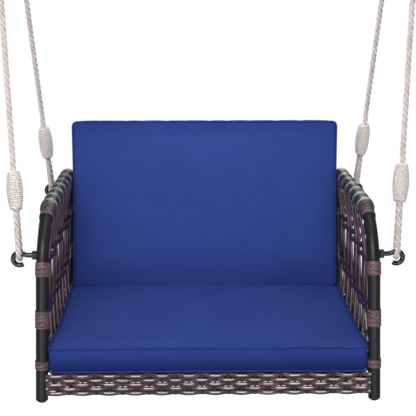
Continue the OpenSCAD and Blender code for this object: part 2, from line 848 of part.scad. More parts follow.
module spacer_washers() {
    color("#8c8f93") {
        at_seat_bolts() spacer(seat_rail_x + seat_tube_r + 0.1, post_inner_x - rivet_flange - touch - 0.1);
        at_back_bolts() spacer(back_x + seat_tube_r + 0.1, back_inner_x - rivet_flange - touch - 0.1);
    }
}

back_nut_af = 10;
back_nut_h = 5;

module at_foot_bolts() {
    for (x = [-back_bolt_x, back_bolt_x])
        hung() translate([x, seat_depth, seat_rail_z]) children();
}

module back_bolts() {
    color("#2a2b2d")
        at_foot_bolts()
            translate([0, 0, -seat_tube_r - 0.1])
                rotate([0, -90, 0]) button_bolt(2 * seat_tube_d + back_nut_h + 2);
}

module back_nuts() {
    color("#8c8f93")
        at_foot_bolts()
            translate([0, 0, seat_tube_r + seat_tube_d + 0.4])
                difference() {
                    cylinder(d = back_nut_af / cos(30), h = back_nut_h, $fn = 6);
                    translate([0, 0, -1]) cylinder(d = bolt_d + 0.1, h = back_nut_h + 2);
                }
}

// --------------------------------------------------------------------- hooks

// A hook's own plane: x outwards from the tube's axis, z up from the rod
hook_loop_x = tube_r + hook_reach;
hook_top_z = hook_rise;
// Two equal bends lift the rod from the nut's height to the top of the loop
hook_s_r = 20;
hook_s_angle = acos(1 - hook_rise / (2 * hook_s_r));
hook_s_run = 2 * hook_s_r * sin(hook_s_angle);
hook_bend_x = hook_loop_x - hook_s_run;

function hook_pivot(side, p) = side_point(side, [hook_loop_x, p[0], p[1] + hook_top_z]);

module hook_rod(side, p) {
    stem_x = tube_r - insert_l + 2;
    color("#141416") on_side(side)
        translate([0, p[0], p[1]]) {
            translate([stem_x, 0, 0])
                rotate([0, 90, 0]) cylinder(d = hook_d, h = hook_bend_x - stem_x - seam);
            rod_seam([hook_bend_x, 0], 0);
            rod_seam([(hook_bend_x + hook_loop_x) / 2, hook_rise / 2], hook_s_angle);
            rod_seam([hook_loop_x, hook_rise], 0);
            rod_arc([hook_bend_x, hook_s_r], hook_s_r, -90, hook_s_angle);
            rod_arc([hook_loop_x, hook_rise - hook_s_r], hook_s_r, 90, hook_s_angle);
            // the loop runs outwards, down and back towards the post
            rod_arc([hook_loop_x, hook_rise - hook_r], hook_r, -hook_tip_angle, 90 + hook_tip_angle);
        }
}
hook_tip_angle = 125;

// The bead between two stretches of rod, at a point, rising by an angle
module rod_seam(at, rise) {
    translate([at[0], 0, at[1]])
        rotate([0, 90 - rise, 0])
            cylinder(d = hook_d + 2 * seam_rise, h = 0.8, center = true);
}

// Round rod bent in the XZ plane about a centre, from one angle onwards
module rod_arc(centre, radius, from, angle) {
    short = seam / radius * 180 / PI;
    translate([centre[0], 0, centre[1]])
        rotate([90, 0, 0])
            rotate([0, 0, from + short])
                rotate_extrude(angle = angle - 2 * short, $fn = 96)
                    translate([radius, 0]) circle(d = hook_d);
}

module hook_nuts() {
    color("#1d1e20")
        for (side = [LEFT, RIGHT], p = hook_points)
            on_side(side)
                translate([tube_r + touch, p[0], p[1]])
                    rotate([0, 90, 0])
                        difference() {
                            intersection() {
                                cylinder(d = hook_nut_af / cos(30), h = hook_nut_h, $fn = 6);
                                translate([0, 0, -hook_nut_af + hook_nut_h / 2 + 10.8])
                                    sphere(r = hook_nut_af - 3.4);
                            }
                            translate([0, 0, -1]) cylinder(d = hook_d + 0.1, h = hook_nut_h + 2);
                        }
}

// Threaded bushes welded in the posts' outer walls
module hook_inserts() {
    color("#8c8f93")
        for (side = [LEFT, RIGHT], p = hook_points)
            on_side(side)
                translate([tube_r - insert_l, p[0], p[1]])
                    rotate([0, 90, 0])
                        difference() {
                            cylinder(d = hook_hole_d, h = insert_l);
                            translate([0, 0, -1]) cylinder(d = hook_d + 0.1, h = insert_l + 2);
                        }
}

// --------------------------------------------------------------------- ropes

ring_wire = hook_d;
pivot_drop = collar_t + 3 + 2 * ring_r;
pivot_h = ceiling_h - pivot_drop;
front_pivot_y = hang_y - ceiling_y;
rear_pivot_y = hang_y + ceiling_y;

function lower_pivot(side, front) = hook_pivot(side, hook_points[front ? 0 : 1]);
function upper_pivot(side, front) =
    [side * ceiling_x, front ? front_pivot_y : rear_pivot_y, pivot_h];

// Coordinates of one rope: v across the eyes' plane, w up the rope
function rope_w(side, front) = unit(upper_pivot(side, front) - lower_pivot(side, front));
function rope_v(side, front) = unit(cross(rope_w(side, front), [1, 0, 0]));
function rope_u(side, front) = cross(rope_v(side, front), rope_w(side, front));
function rope_span(side, front) = norm(upper_pivot(side, front) - lower_pivot(side, front));

// How far up each rope its lower lashing begins: hand-tied, so no two are alike
function lash_from(side, front) = front
    ? (side == LEFT ? 85 : 98)
    : (side == LEFT ? 74 : 80);
upper_lash_from = 46;
upper_lash_l = 58;
leg_v = rope_r + 0.3;

// An eye is wider than its rod where the rope has to shift in its hook
front_eye = [hook_d / 2 + rope_r + eye_gap, hook_d / 2 + rope_r + eye_gap];
rear_eye = [hook_d / 2 + rope_r + 3.4, hook_d / 2 + rope_r + eye_gap + 0.4];

// Half an eye, from the rod's underside up into the lashing. Points are [v, w].
function eye_leg(eye, lash) = [
    [eye[0] * 0.38, -eye[1] + (1 - cos(22.5)) * eye[1]],
    [eye[0] * 0.71, -eye[1] * 0.71],
    [eye[0] * 0.92, -eye[1] * 0.38],
    [eye[0], 0],
    [eye[0], 14],
    [eye[0] - 0.3 * (eye[0] - leg_v), 14 + 0.35 * (lash - 14)],
    [eye[0] - 0.8 * (eye[0] - leg_v), 14 + 0.8 * (lash - 14)],
    [leg_v, lash]
];
function left_of(points) = [for (p = points) [-p[0], p[1]]];

// The whole rope: the lower eye's tail, round the hook, up the standing part
// and round the ceiling eye to the upper tail
function rope_route(side, front) =
    let (
        lash = lash_from(side, front),
        span = rope_span(side, front),
        low = front ? front_eye : rear_eye,
        high = front_eye,
        top = span - upper_lash_from,
        start = lash + lash_l,
        stop = top - upper_lash_l,
        steps = ceil((stop - start - 40) / 30)
    )
    concat(
        [[leg_v, lash + lash_l - 4], [leg_v, lash + lash_l / 2]],
        reversed(eye_leg(low, lash)),
        [[0, -low[1]]],
        left_of(eye_leg(low, lash)),
        [[-leg_v, lash + lash_l / 2], [-leg_v, start], [-leg_v / 2, start + 12]],
        [for (i = [0:steps]) [0, start + 26 + (stop - start - 52) * i / steps]],
        [[-leg_v / 2, stop - 12], [-leg_v, stop], [-leg_v, stop + upper_lash_l / 2]],
        [for (p = reversed(eye_leg(high, upper_lash_from))) [-p[0], span - p[1]]],
        [[0, span + high[1]]],
        [for (p = eye_leg(high, upper_lash_from)) [p[0], span - p[1]]],
        [[leg_v, stop + upper_lash_l / 2], [leg_v, stop + 4]]
    );

function rope_path(side, front) =
    let (
        base = lower_pivot(side, front),
        v = rope_v(side, front),
        w = rope_w(side, front)
    )
    [for (p = rope_route(side, front)) base + p[0] * v + p[1] * w];

module rope(side, front) {
    color("#efe8dc") hung()
        swept_tube(rope_path(side, front), rope_u(side, front), rope_r, 8);
}

// ------------------------------------------------------------------ lashings

lash_rings = 10;
lash_pitch = (lash_l - lash_d - 2) / lash_turns;
lash_v = leg_v + rope_r + lash_d / 2 + 0.2;
lash_u = 11.6;
lash_swell = 2.1;

// The cord's middle line: an oval helix, a little fuller in its middle
function lash_point(t) =
    let (a = 360 * t, s = t / lash_turns)
    [(lash_u + lash_swell * sin(180 * s)) * cos(a), lash_v * sin(a), lash_d / 2 + 1 + lash_pitch * t];
lash_helix = [for (i = [0:lash_turns * lash_rings]) lash_point(i / lash_rings)];
lash_last = len(lash_helix) - 1;
lash_line = concat(
    [lash_helix[0] - lash_d * unit(lash_helix[1] - lash_helix[0])],
    lash_helix,
    [lash_helix[lash_last] + lash_d * unit(lash_helix[lash_last] - lash_helix[lash_last - 1])]
);

// Least distance between the cord's own turns, measured on points
lash_gap = min([
    for (i = [0:len(lash_line) - 1], j = [i + 6:1:min(i + 3 * lash_rings, len(lash_line) - 1)])
        norm(lash_line[i] - lash_line[j])
]) - lash_d;
echo(lashing_gap_mm = lash_gap);

// Places its children on a rope, z up it, with x across both legs
module on_rope(side, front, height) {
    u = rope_u(side, front);
    v = rope_v(side, front);
    w = rope_w(side, front);
    p = lower_pivot(side, front) + height * w;
    hung()
        multmatrix([
            [u[0], v[0], w[0], p[0]],
            [u[1], v[1], w[1], p[1]],
            [u[2], v[2], w[2], p[2]],
            [0, 0, 0, 1]
        ]) children();
}

module lashing(side, front) {
    color("#e3dacb")
        on_rope(side, front, lash_from(side, front))
            swept_tube(lash_line, [0, 0, 1], lash_d / 2, 4);
}

// The lashing at the ceiling end: a full barrel over both legs of the eye
module upper_lashing(side, front) {
    end_r = leg_v + rope_r + 1.6;
    mid_r = end_r + 2;
    color("#e3dacb")
        on_rope(side, front, rope_span(side, front) - upper_lash_from - upper_lash_l)
            difference() {
                rotate_extrude()
                    polygon([
                        [0, 1], [end_r - 1, 1], [end_r, 3], [mid_r, upper_lash_l * 0.35],
                        [mid_r, upper_lash_l * 0.65], [end_r, upper_lash_l - 3],
                        [end_r - 1, upper_lash_l - 1], [0, upper_lash_l - 1]
                    ]);
                linear_extrude(upper_lash_l)
                    union() {
                        for (v = [-leg_v, leg_v]) translate([0, v]) circle(r = rope_r + 0.25);
                        square([2 * rope_r + 0.5, 2 * leg_v], center = true);
                    }
            }
}

// ------------------------------------------------------------ ceiling fittings

// An eye bolt: a forged ring under a collar, and a shank that goes into the beam
module ceiling_eye(side, front) {
    p = upper_pivot(side, front);
    color("#2a2b2d")
        hung()
            translate([p[0], p[1], 0]) {
                translate([0, 0, pivot_h + ring_r])
                    rotate([90, 0, 0])
                        rotate_extrude($fn = 96) translate([ring_r, 0]) circle(d = ring_wire);
                translate([0, 0, ceiling_h - collar_t]) cylinder(d = collar_d, h = collar_t);
                translate([0, 0, ceiling_h - collar_t / 2]) cylinder(d = shank_d, h = shank_l + collar_t / 2);
            }
}

// ------------------------------------------------------------------- cushions

// A rounded rectangle of given half sizes as a ring of points. Every ring has
// the same number of points, so that rings can be joined one to the next.
side_steps = 9;
corner_steps = 3;
function ring_count() = 4 * (side_steps + corner_steps);
function rounded(a, b, r) =
    let (
        cx = a - r,
        cy = b - r,
        corners = [[cx, cy, 0], [-cx, cy, 90], [-cx, -cy, 180], [cx, -cy, 270]]
    )
    [
        for (q = [0:3])
            let (
                c = corners[q],
                n = corners[(q + 1) % 4],
                p0 = [c[0] + r * cos(c[2] + 90), c[1] + r * sin(c[2] + 90)],
                p1 = [n[0] + r * cos(n[2]), n[1] + r * sin(n[2])]
            )
            each concat(
                [for (i = [0:corner_steps - 1])
                    [c[0] + r * cos(c[2] + 90 * i / corner_steps), c[1] + r * sin(c[2] + 90 * i / corner_steps)]],
                [for (i = [0:side_steps - 1]) p0 + (p1 - p0) * i / side_steps]
            )
    ];

// Rings of points from the middle of the underside to the middle of the top.
// a, b: half sizes; t: edge thickness; crown above it; under: crown below it.
// The sides are drawn in between their corners by draw, and swell by swell at
// half their thickness.
function cushion_ring(a, b, r, inset, z, draw) =
    [for (p = rounded(a - inset, b - inset, max(r - inset, 6)))
        [
            p[0] - sign(p[0]) * draw[0] * max(0, 1 - pow(p[1] / b, 2)) * pow(abs(p[0]) / a, 6),
            p[1] - sign(p[1]) * draw[1] * max(0, 1 - pow(p[0] / a, 2)) * pow(abs(p[1]) / b, 6),
            z
        ]];
// Height of a face above its edge; the crown's top is a share of b off the middle
function crowned(x, y, a, b, crown, off) =
    let (v = y > off * b ? (y - off * b) / (b - off * b) : (off * b - y) / (b + off * b))
    crown * (1 - pow(abs(x / a), 2.4)) * (1 - pow(v, 2.4));
function face_ring(a, b, r, share, t, crown, off, draw) =
    [for (p = cushion_ring(a, b, r, 0, 0, draw))
        [p[0] * share, p[1] * share, t + crowned(p[0] * share, p[1] * share, a, b, crown, off)]];

function cushion_rings(a, b, r, t, crown, off, under, draw, swell) =
    let (w = welt_d / 2, low = w, high = t - w)
    [
        face_ring(a, b, r, 0.45, 0, -under, 0, draw),
        face_ring(a, b, r, 0.8, 0, -under, 0, draw),
        cushion_ring(a, b, r, w + 1.5, 0, draw),
        cushion_ring(a, b, r, w / 2, low - w * 0.7, draw),
        cushion_ring(a, b, r, 0, low + w * 0.3, draw),
        cushion_ring(a, b, r, w * 0.9, low + w * 1.2, draw),
        cushion_ring(a, b, r, w * 0.9 - swell, t / 2, draw),
        cushion_ring(a, b, r, w * 0.9, high - w * 1.2, draw),
        cushion_ring(a, b, r, 0, high - w * 0.3, draw),
        cushion_ring(a, b, r, w / 2, high + w * 0.7, draw),
        cushion_ring(a, b, r, w + 1.5, t, draw),
        face_ring(a, b, r, 0.84, t, crown, off, draw),
        face_ring(a, b, r, 0.66, t, crown, off, draw),
        face_ring(a, b, r, 0.33, t, crown, off, draw)
    ];

// Joins the rings into one closed skin, with a point in the middle of each face
module skin(rings, bottom, top) {
    n = ring_count();
    m = len(rings);
    points = concat([for (ring = rings) each ring], [bottom, top]);
    walls = [
        for (i = [0:m - 2], k = [0:n - 1])
            let (
                a = i * n + k,
                b = i * n + (k + 1) % n
            )
            each [[a, b + n, b], [a, a + n, b + n]]
    ];
    floor_fan = [for (k = [0:n - 1]) [m * n, k, (k + 1) % n]];
    top_fan = [for (k = [0:n - 1]) [m * n + 1, (m - 1) * n + (k + 1) % n, (m - 1) * n + k]];
    polyhedron(points, concat(walls, floor_fan, top_fan), convexity = 4);
}

// Covers are cut to whole millimetres
seat_cushion_w = 2 * floor(panel_inner_x - seat_cushion_side_gap);
back_cushion_w = 2 * floor(panel_inner_x - back_cushion_side_gap);
seat_cushion_front = -seat_cushion_overhang;
seat_cushion_l = floor(seat_depth - back_wrap_r - cane_r - seat_cushion_rear_gap - seat_cushion_front);
seat_cushion_z = apron_top + touch;
// The seat's crown is highest under the back cushion's front edge
crown_y = seat_depth - back_cushion_t - 14;
crown_off = (crown_y - seat_cushion_front - seat_cushion_l / 2) / (seat_cushion_l / 2);

module seat_cushion() {
    a = seat_cushion_w / 2;
    b = seat_cushion_l / 2;
    color("#233a86") hung()
        translate([0, seat_cushion_front + b, seat_cushion_z])
            skin(
                cushion_rings(a, b, 20, seat_cushion_t, seat_crown, crown_off, 0, [2, 2], 1.5),
                [0, 0, 0],
                [0, 0, seat_cushion_t + crowned(0, 0, a, b, seat_crown, crown_off)]
            );
}

// The back cushion stands on the seat cushion and leans on the back's canes
back_bulge = 2;
back_cushion_gap = back_wrap_r + cane_r + touch + back_bulge / 2;
back_cushion_foot = (seat_cushion_z + seat_cushion_t + seat_crown + touch
    - back_foot_z - back_cushion_gap * sin(recline)) / cos(recline);
arm_on_back = (side_point(RIGHT, [0, 0, arch_z(crown_y)])[2] - back_foot_z) / cos(recline);

// Lays the lower edge level on the seat cushion
function levelled(p, b) =
    [p[0], p[1] - p[2] * tan(recline) * min(1, max(0, -p[1] / b)), p[2]];

// Draws the cushion's sides in where the arms press on them
function dented(p, middle) =
    let (
        h = p[1] - middle,
        press = abs(h) < 62 ? pow(cos(90 * h / 62), 2) : 0,
        share = pow(abs(p[0]) / (back_cushion_w / 2), 12)
    )
    [p[0] - sign(p[0]) * arm_dent * press * share, p[1], p[2]];

module back_cushion() {
    a = back_cushion_w / 2;
    b = back_cushion_h / 2;
    middle = arm_on_back - back_cushion_foot - b;
    rings = cushion_rings(a, b, 12, back_cushion_t, back_crown, 0, back_bulge, [2, 0], 1);
    color("#233a86") on_back()
        translate([0, -back_cushion_gap, back_cushion_foot + b])
            rotate([90, 0, 0])
                skin(
                    [for (ring = rings) [for (p = ring) levelled(dented(p, middle), b)]],
                    [0, 0, -back_bulge],
                    [0, 0, back_cushion_t + back_crown]
                );
}

side_frame(LEFT);  // side_frame_left
side_frame(RIGHT);  // side_frame_right
foot_plugs();
canes(LEFT);  // canes_left
canes(RIGHT);  // canes_right
side_weave(LEFT);  // side_weave_left
side_weave(RIGHT);  // side_weave_right
arm_wrap(LEFT);  // arm_wrap_left
arm_wrap(RIGHT);  // arm_wrap_right
post_bands(LEFT);  // post_bands_left
post_bands(RIGHT);  // post_bands_right
seat_frame();
seat_slats();
seat_deck();
apron_stakes();
apron_weave();
back_frame();
back_canes();
back_weave();
frame_bolts();
rivet_nuts();
spacer_washers();
back_bolts();
back_nuts();
hook_rod(LEFT, hook_points[0]);  // hook_front_left
hook_rod(RIGHT, hook_points[0]);  // hook_front_right
hook_rod(LEFT, hook_points[1]);  // hook_rear_left
hook_rod(RIGHT, hook_points[1]);  // hook_rear_right
hook_nuts();
hook_inserts();
seat_cushion();
back_cushion();
rope(LEFT, true);  // rope_front_left
rope(RIGHT, true);  // rope_front_right
rope(LEFT, false);  // rope_rear_left
rope(RIGHT, false);  // rope_rear_right
lashing(LEFT, true);  // lashing_front_left
lashing(RIGHT, true);  // lashing_front_right
lashing(LEFT, false);  // lashing_rear_left
lashing(RIGHT, false);  // lashing_rear_right
upper_lashing(LEFT, true);  // upper_lashing_front_left
upper_lashing(RIGHT, true);  // upper_lashing_front_right
upper_lashing(LEFT, false);  // upper_lashing_rear_left
upper_lashing(RIGHT, false);  // upper_lashing_rear_right
ceiling_eye(LEFT, true);  // ceiling_eye_front_left
ceiling_eye(RIGHT, true);  // ceiling_eye_front_right
ceiling_eye(LEFT, false);  // ceiling_eye_rear_left
ceiling_eye(RIGHT, false);  // ceiling_eye_rear_right
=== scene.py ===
import math

import bpy
import numpy as np
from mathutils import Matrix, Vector
from mathutils.kdtree import KDTree


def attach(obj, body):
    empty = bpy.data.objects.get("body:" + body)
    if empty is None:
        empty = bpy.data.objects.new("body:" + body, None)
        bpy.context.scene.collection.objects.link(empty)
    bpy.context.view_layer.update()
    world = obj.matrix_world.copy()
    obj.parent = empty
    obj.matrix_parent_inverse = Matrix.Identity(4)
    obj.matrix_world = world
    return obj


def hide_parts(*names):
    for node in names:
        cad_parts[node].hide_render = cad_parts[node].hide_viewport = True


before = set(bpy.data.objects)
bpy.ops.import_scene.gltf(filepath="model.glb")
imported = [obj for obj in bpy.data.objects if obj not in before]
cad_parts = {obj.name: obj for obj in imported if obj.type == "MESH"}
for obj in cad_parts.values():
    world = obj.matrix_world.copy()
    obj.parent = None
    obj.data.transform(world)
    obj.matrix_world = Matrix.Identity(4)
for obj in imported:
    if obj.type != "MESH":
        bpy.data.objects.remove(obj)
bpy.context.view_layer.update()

# ---------------------------------------------------------------------------------------
# Where the swing hangs, and how it is looked at.
# The seat is measured in millimetres from its own feet: x to the right, y back from the
# front posts, z up. It hangs under a ceiling plane, where the origin lies.

HANG_Y = 313.0
CEILING_H = 953.0


def seat(points):
    """Points in the seat's millimetres as points of the hanging swing, in metres."""
    return (np.asarray(points, dtype=float) - [0, HANG_Y, CEILING_H]) / 1000


camera = bpy.data.objects.new("camera", bpy.data.cameras.new("camera"))
bpy.context.scene.collection.objects.link(camera)
camera.location = seat([-42.3, -2246, 884])
camera.rotation_euler = (math.radians(90 - 12.21), 0, math.radians(-1.05))
camera.data.lens = 100.3
camera.data.sensor_width = 36
bpy.context.scene.camera = camera
bpy.context.scene.view_settings.view_transform = "Standard"


def add_node(tree, kind, settings=None, values=None):
    """Adds a node to a tree. Its settings come first, then its inputs, as values or links."""
    made = tree.nodes.new(kind)
    for key, value in (settings or {}).items():
        setattr(made, key, value)
    for key, value in (values or {}).items():
        if isinstance(value, bpy.types.NodeSocket):
            tree.links.new(value, made.inputs[key])
        else:
            made.inputs[key].default_value = value
    return made


class Wave:
    """A value that varies over a surface. Its arithmetic adds the material's Math nodes."""

    def __init__(self, finish, socket):
        self.finish, self.socket = finish, socket

    def do(self, operation, *values):
        return self.finish.node("ShaderNodeMath", {"operation": operation}, dict(enumerate(values)))

    def __add__(self, other):
        return self.do("ADD", self, other)

    def __sub__(self, other):
        return self.do("SUBTRACT", self, other)

    def __rsub__(self, other):
        return self.do("SUBTRACT", other, self)

    def __mul__(self, other):
        return self.do("MULTIPLY", self, other)

    def __truediv__(self, other):
        return self.do("DIVIDE", self, other)

    __radd__ = __add__
    __rmul__ = __mul__

    def sin(self):
        return self.do("SINE", self)

    def angle(self, across):
        return self.do("ARCTAN2", self, across)

    def fract(self):
        return self.do("FRACT", self)

    def size(self):
        return self.do("ABSOLUTE", self)

    def above(self, low, high):
        """0 under low, 1 over high, and a soft step between them."""
        settings = {"interpolation_type": "SMOOTHSTEP"}
        return self.finish.node("ShaderNodeMapRange", settings, {0: self, 1: low, 2: high})


class Finish:
    """A material that is built node by node around one Principled shader."""

    def __init__(self, name):
        self.material = bpy.data.materials.new(name)
        self.material.use_nodes = True
        self.shader = self.material.node_tree.nodes["Principled BSDF"]

    def node(self, kind, settings=None, values=None, out=0):
        sockets = {k: v.socket if isinstance(v, Wave) else v for k, v in (values or {}).items()}
        return Wave(self, add_node(self.material.node_tree, kind, settings, sockets).outputs[out])

    def shade(self, **sockets):
        """Sets the shader's sockets; a socket's name is written with _ for its spaces."""
        for key, value in sockets.items():
            socket = self.shader.inputs[key.replace("_", " ")]
            if isinstance(value, Wave):
                self.material.node_tree.links.new(value.socket, socket)
            else:
                socket.default_value = value
        return self.material

    def place(self):
        return self.node("ShaderNodeTexCoord", out="Object")

    def uv(self):
        return self.node("ShaderNodeTexCoord", out="UV")

    def mapped(self, scale, turn=(0, 0, 0), place=None):
        values = {0: place or self.place(), "Scale": scale, "Rotation": turn}
        return self.node("ShaderNodeMapping", {}, values)

    def noise(self, scale, detail=3.0, rough=0.5, place=None):
        values = {"Vector": place or self.place(), "Scale": scale, "Detail": detail}
        return self.node("ShaderNodeTexNoise", {}, {**values, "Roughness": rough})

    def axis(self, place, letter):
        return self.node("ShaderNodeSeparateXYZ", {}, {0: place}, out=letter)

    def mix(self, a, b, factor):
        values = {0: factor, 6: a, 7: b}
        return self.node("ShaderNodeMix", {"data_type": "RGBA"}, values, out=2)

    def bump(self, height, distance, strength=1.0):
        values = {"Height": height, "Distance": distance, "Strength": strength}
        return self.node("ShaderNodeBump", {}, values)


def colour(code):
    """A written colour such as 2b3f86 in the shader's linear numbers."""
    parts = [int(code[i:i + 2], 16) / 255 for i in (0, 2, 4)]
    return tuple(((c + 0.055) / 1.055) ** 2.4 if c > 0.04045 else c / 12.92 for c in parts)


def rgba(code):
    return (*colour(code), 1.0)


def lamp(name, place, aim, size, watts, spread=180):
    light = bpy.data.lights.new(name, "AREA")
    light.shape, light.size, light.energy = "DISK", size, watts
    light.spread = math.radians(spread)
    shown = bpy.data.objects.new(name, light)
    bpy.context.scene.collection.objects.link(shown)
    shown.location = place
    shown.rotation_mode = "QUATERNION"
    shown.rotation_quaternion = (Vector(aim) - Vector(place)).to_track_quat("-Z", "Y")


lamp("softbox", (-0.45, -1.9, 0.75), (0, 0.25, -0.45), 1.2, 5.1, 70)
lamp("top", (0.3, -0.3, 1.6), (0, 0, -0.8), 1.6, 8)
lamp("low_left", (-0.75, -2.1, -1.2), (-0.3, -0.3, -0.75), 0.5, 5.4)
lamp("low_right", (0.62, -2.2, -1.2), (0.3, -0.3, -0.75), 0.5, 5.0)
lamp("rim", (0.4, 2.6, 0.6), (0, 0, -0.6), 2.0, 20)


def lit_by(tree, shown, scattered, mirrored):
    """How bright the surroundings look, how much they light and how they are reflected."""
    ray = add_node(tree, "ShaderNodeLightPath").outputs
    eyes = {0: ray["Is Camera Ray"], 1: ray["Is Transmission Ray"]}
    seen = add_node(tree, "ShaderNodeMath", {"operation": "MAXIMUM"}, eyes).outputs[0]
    around = {"To Min": scattered, "To Max": mirrored, "Value": ray["Is Glossy Ray"]}
    other = add_node(tree, "ShaderNodeMapRange", {}, around).outputs[0]
    level = {"To Max": shown, "Value": seen, "To Min": other}
    return add_node(tree, "ShaderNodeMapRange", {}, level).outputs[0]


world = bpy.data.worlds.new("studio")
bpy.context.scene.world = world
world.use_nodes = True
world.node_tree.nodes["Background"].inputs["Color"].default_value = (1, 1, 1, 1)
level = lit_by(world.node_tree, 1.0, 0.68, 0.16)
world.node_tree.links.new(level, world.node_tree.nodes["Background"].inputs["Strength"])

floor_mesh = bpy.data.meshes.new("floor")
reach, floor_z = 9.0, (-CEILING_H - 420) / 1000
corners = [(x * reach, y * reach, floor_z) for x, y in [(-1, -1), (1, -1), (1, 1), (-1, 1)]]
floor_mesh.from_pydata(corners, [], [(0, 1, 2, 3)])
floor = bpy.data.objects.new("floor", floor_mesh)
bpy.context.scene.collection.objects.link(floor)
pale = Finish("floor_pale")
pale.shade(Base_Color=(0.35, 0.35, 0.36, 1), Roughness=0.9)
tree = pale.material.node_tree
glow = add_node(tree, "ShaderNodeEmission", {}, {"Strength": 1.78}).outputs[0]
shaders = {0: lit_by(tree, 0.5, 0.0, 0.0), 1: pale.shader.outputs[0], 2: glow}
blend = add_node(tree, "ShaderNodeMixShader", {}, shaders).outputs[0]
tree.links.new(blend, tree.nodes["Material Output"].inputs[0])
floor_mesh.materials.append(pale.material)

# ---------------------------------------------------------------------------------------
# The four ropes: soft three-strand laid line, 12 mm thick, off-white with pinkish yarns.
# Each has an eye round its hook, runs taut to the ceiling and ends in an eye round a
# ceiling fitting; both tails lie inside the lashings.

POST_X, LEAN = 341.5, math.radians(1.75)
TUBE_R = 12.5
HOOK_D, HOOK_RISE, HOOK_LOOP_X = 10.0, 4.0, TUBE_R + 34.0
HOOKS = {"front": (9.575, 300.0), "rear": (580.08, 326.0)}
CEILING_X, CEILING_Y, RING_DROP = 424.0, 155.0, 36.0
ROPE_R = 6.0
LEG_V = ROPE_R + 0.3
ROPE_LAY = 0.040
SIDES = {"left": -1, "right": 1}
LASH_FROM = {"front_left": 85, "front_right": 98, "rear_left": 74, "rear_right": 80}
LASH_L, UPPER_FROM, UPPER_L = 80, 46, 58


def unit(v):
    v = np.asarray(v, dtype=float)
    return v / np.linalg.norm(v, axis=-1, keepdims=True)


def columns(*values):
    """Arrays, and numbers that stay the same, as the columns of one array."""
    return np.stack(np.broadcast_arrays(*values), axis=-1)


def circle(radius, count):
    """A circle's outline in metres, for a radius in millimetres."""
    a = np.linspace(0, 2 * np.pi, count, endpoint=False)
    return columns(np.cos(a), np.sin(a)) * radius / 1000


def side_point(side, p):
    """A point of a side frame's own leaning plane, in the seat's millimetres."""
    x, y, z = np.moveaxis(np.asarray(p, dtype=float), -1, 0)
    across = POST_X + x * math.cos(LEAN) - z * math.sin(LEAN)
    return columns(side * across, y, x * math.sin(LEAN) + z * math.cos(LEAN))


def smooth(points, step):
    """A smooth line through points, with a point every step or so."""
    p = np.asarray(points, dtype=float)
    p = np.vstack([2 * p[0] - p[1], p, 2 * p[-1] - p[-2]])
    knots = np.concatenate([[0], np.cumsum(np.sqrt(np.linalg.norm(np.diff(p, axis=0), axis=1)))])
    line = []
    for i in range(1, len(p) - 2):
        t0, t1, t2, t3 = knots[i - 1:i + 3]
        count = max(1, round(np.linalg.norm(p[i + 1] - p[i]) / step))
        t = np.linspace(t1, t2, count, endpoint=False)[:, None]
        a1 = (t1 - t) / (t1 - t0) * p[i - 1] + (t - t0) / (t1 - t0) * p[i]
        a2 = (t2 - t) / (t2 - t1) * p[i] + (t - t1) / (t2 - t1) * p[i + 1]
        a3 = (t3 - t) / (t3 - t2) * p[i + 1] + (t - t2) / (t3 - t2) * p[i + 2]
        b1 = (t2 - t) / (t2 - t0) * a1 + (t - t0) / (t2 - t0) * a2
        b2 = (t3 - t) / (t3 - t1) * a2 + (t - t1) / (t3 - t1) * a3
        line.append((t2 - t) / (t2 - t1) * b1 + (t - t1) / (t2 - t1) * b2)
    return np.vstack([*line, p[-2:-1]])


def lengths(path):
    return np.concatenate([[0], np.cumsum(np.linalg.norm(np.diff(path, axis=0), axis=1))])


def rings_along(path, across, profile):
    """Rings of a profile (points, 2) or (rings, points, 2) set square to a path."""
    t = unit(np.gradient(path, axis=0))
    n = unit(np.cross(across, t))
    b = np.cross(t, n)
    profile = np.broadcast_to(profile, (len(path), *np.shape(profile)[-2:]))
    return path[:, None] + profile[..., :1] * n[:, None] + profile[..., 1:] * b[:, None]


def skin(name, rings, along, turns=1.0):
    """A closed tube through rings. Its UV map holds the turn round it and metres along it."""
    n, m = rings.shape[:2]
    i, k = np.meshgrid(np.arange(n - 1), np.arange(m), indexing="ij")
    a, b = i * m + k, i * m + (k + 1) % m
    quads = columns(a, b, b + m, a + m).reshape(-1, 4)
    u0, u1 = k * turns / m, (k + 1) * turns / m
    v0, v1 = np.asarray(along)[i], np.asarray(along)[i + 1]
    uv = columns(u0, v0, u1, v0, u1, v1, u0, v1).reshape(-1, 2)
    caps = [list(range(m - 1, -1, -1)), list(range((n - 1) * m, n * m))]
    mesh = bpy.data.meshes.new(name)
    mesh.from_pydata(rings.reshape(-1, 3).tolist(), [], quads.tolist() + caps)
    ends = np.repeat([[0, along[0]], [0, along[-1]]], m, axis=0)
    mesh.uv_layers.new(name="surface").data.foreach_set("uv", np.vstack([uv, ends]).ravel())
    mesh.shade_smooth()
    return mesh


def joined(name, meshes):
    """Several meshes as one, with their UV maps kept."""
    verts, faces, uvs, base = [], [], [], 0
    for mesh in meshes:
        co = np.empty(len(mesh.vertices) * 3)
        mesh.vertices.foreach_get("co", co)
        verts.append(co.reshape(-1, 3))
        faces += [[base + v for v in p.vertices] for p in mesh.polygons]
        uv = np.empty(len(mesh.loops) * 2)
        mesh.uv_layers[0].data.foreach_get("uv", uv)
        uvs.append(uv)
        base += len(mesh.vertices)
        bpy.data.meshes.remove(mesh)
    made = bpy.data.meshes.new(name)
    made.from_pydata(np.vstack(verts).tolist(), [], faces)
    made.uv_layers.new(name="surface").data.foreach_set("uv", np.concatenate(uvs))
    made.shade_smooth()
    return made


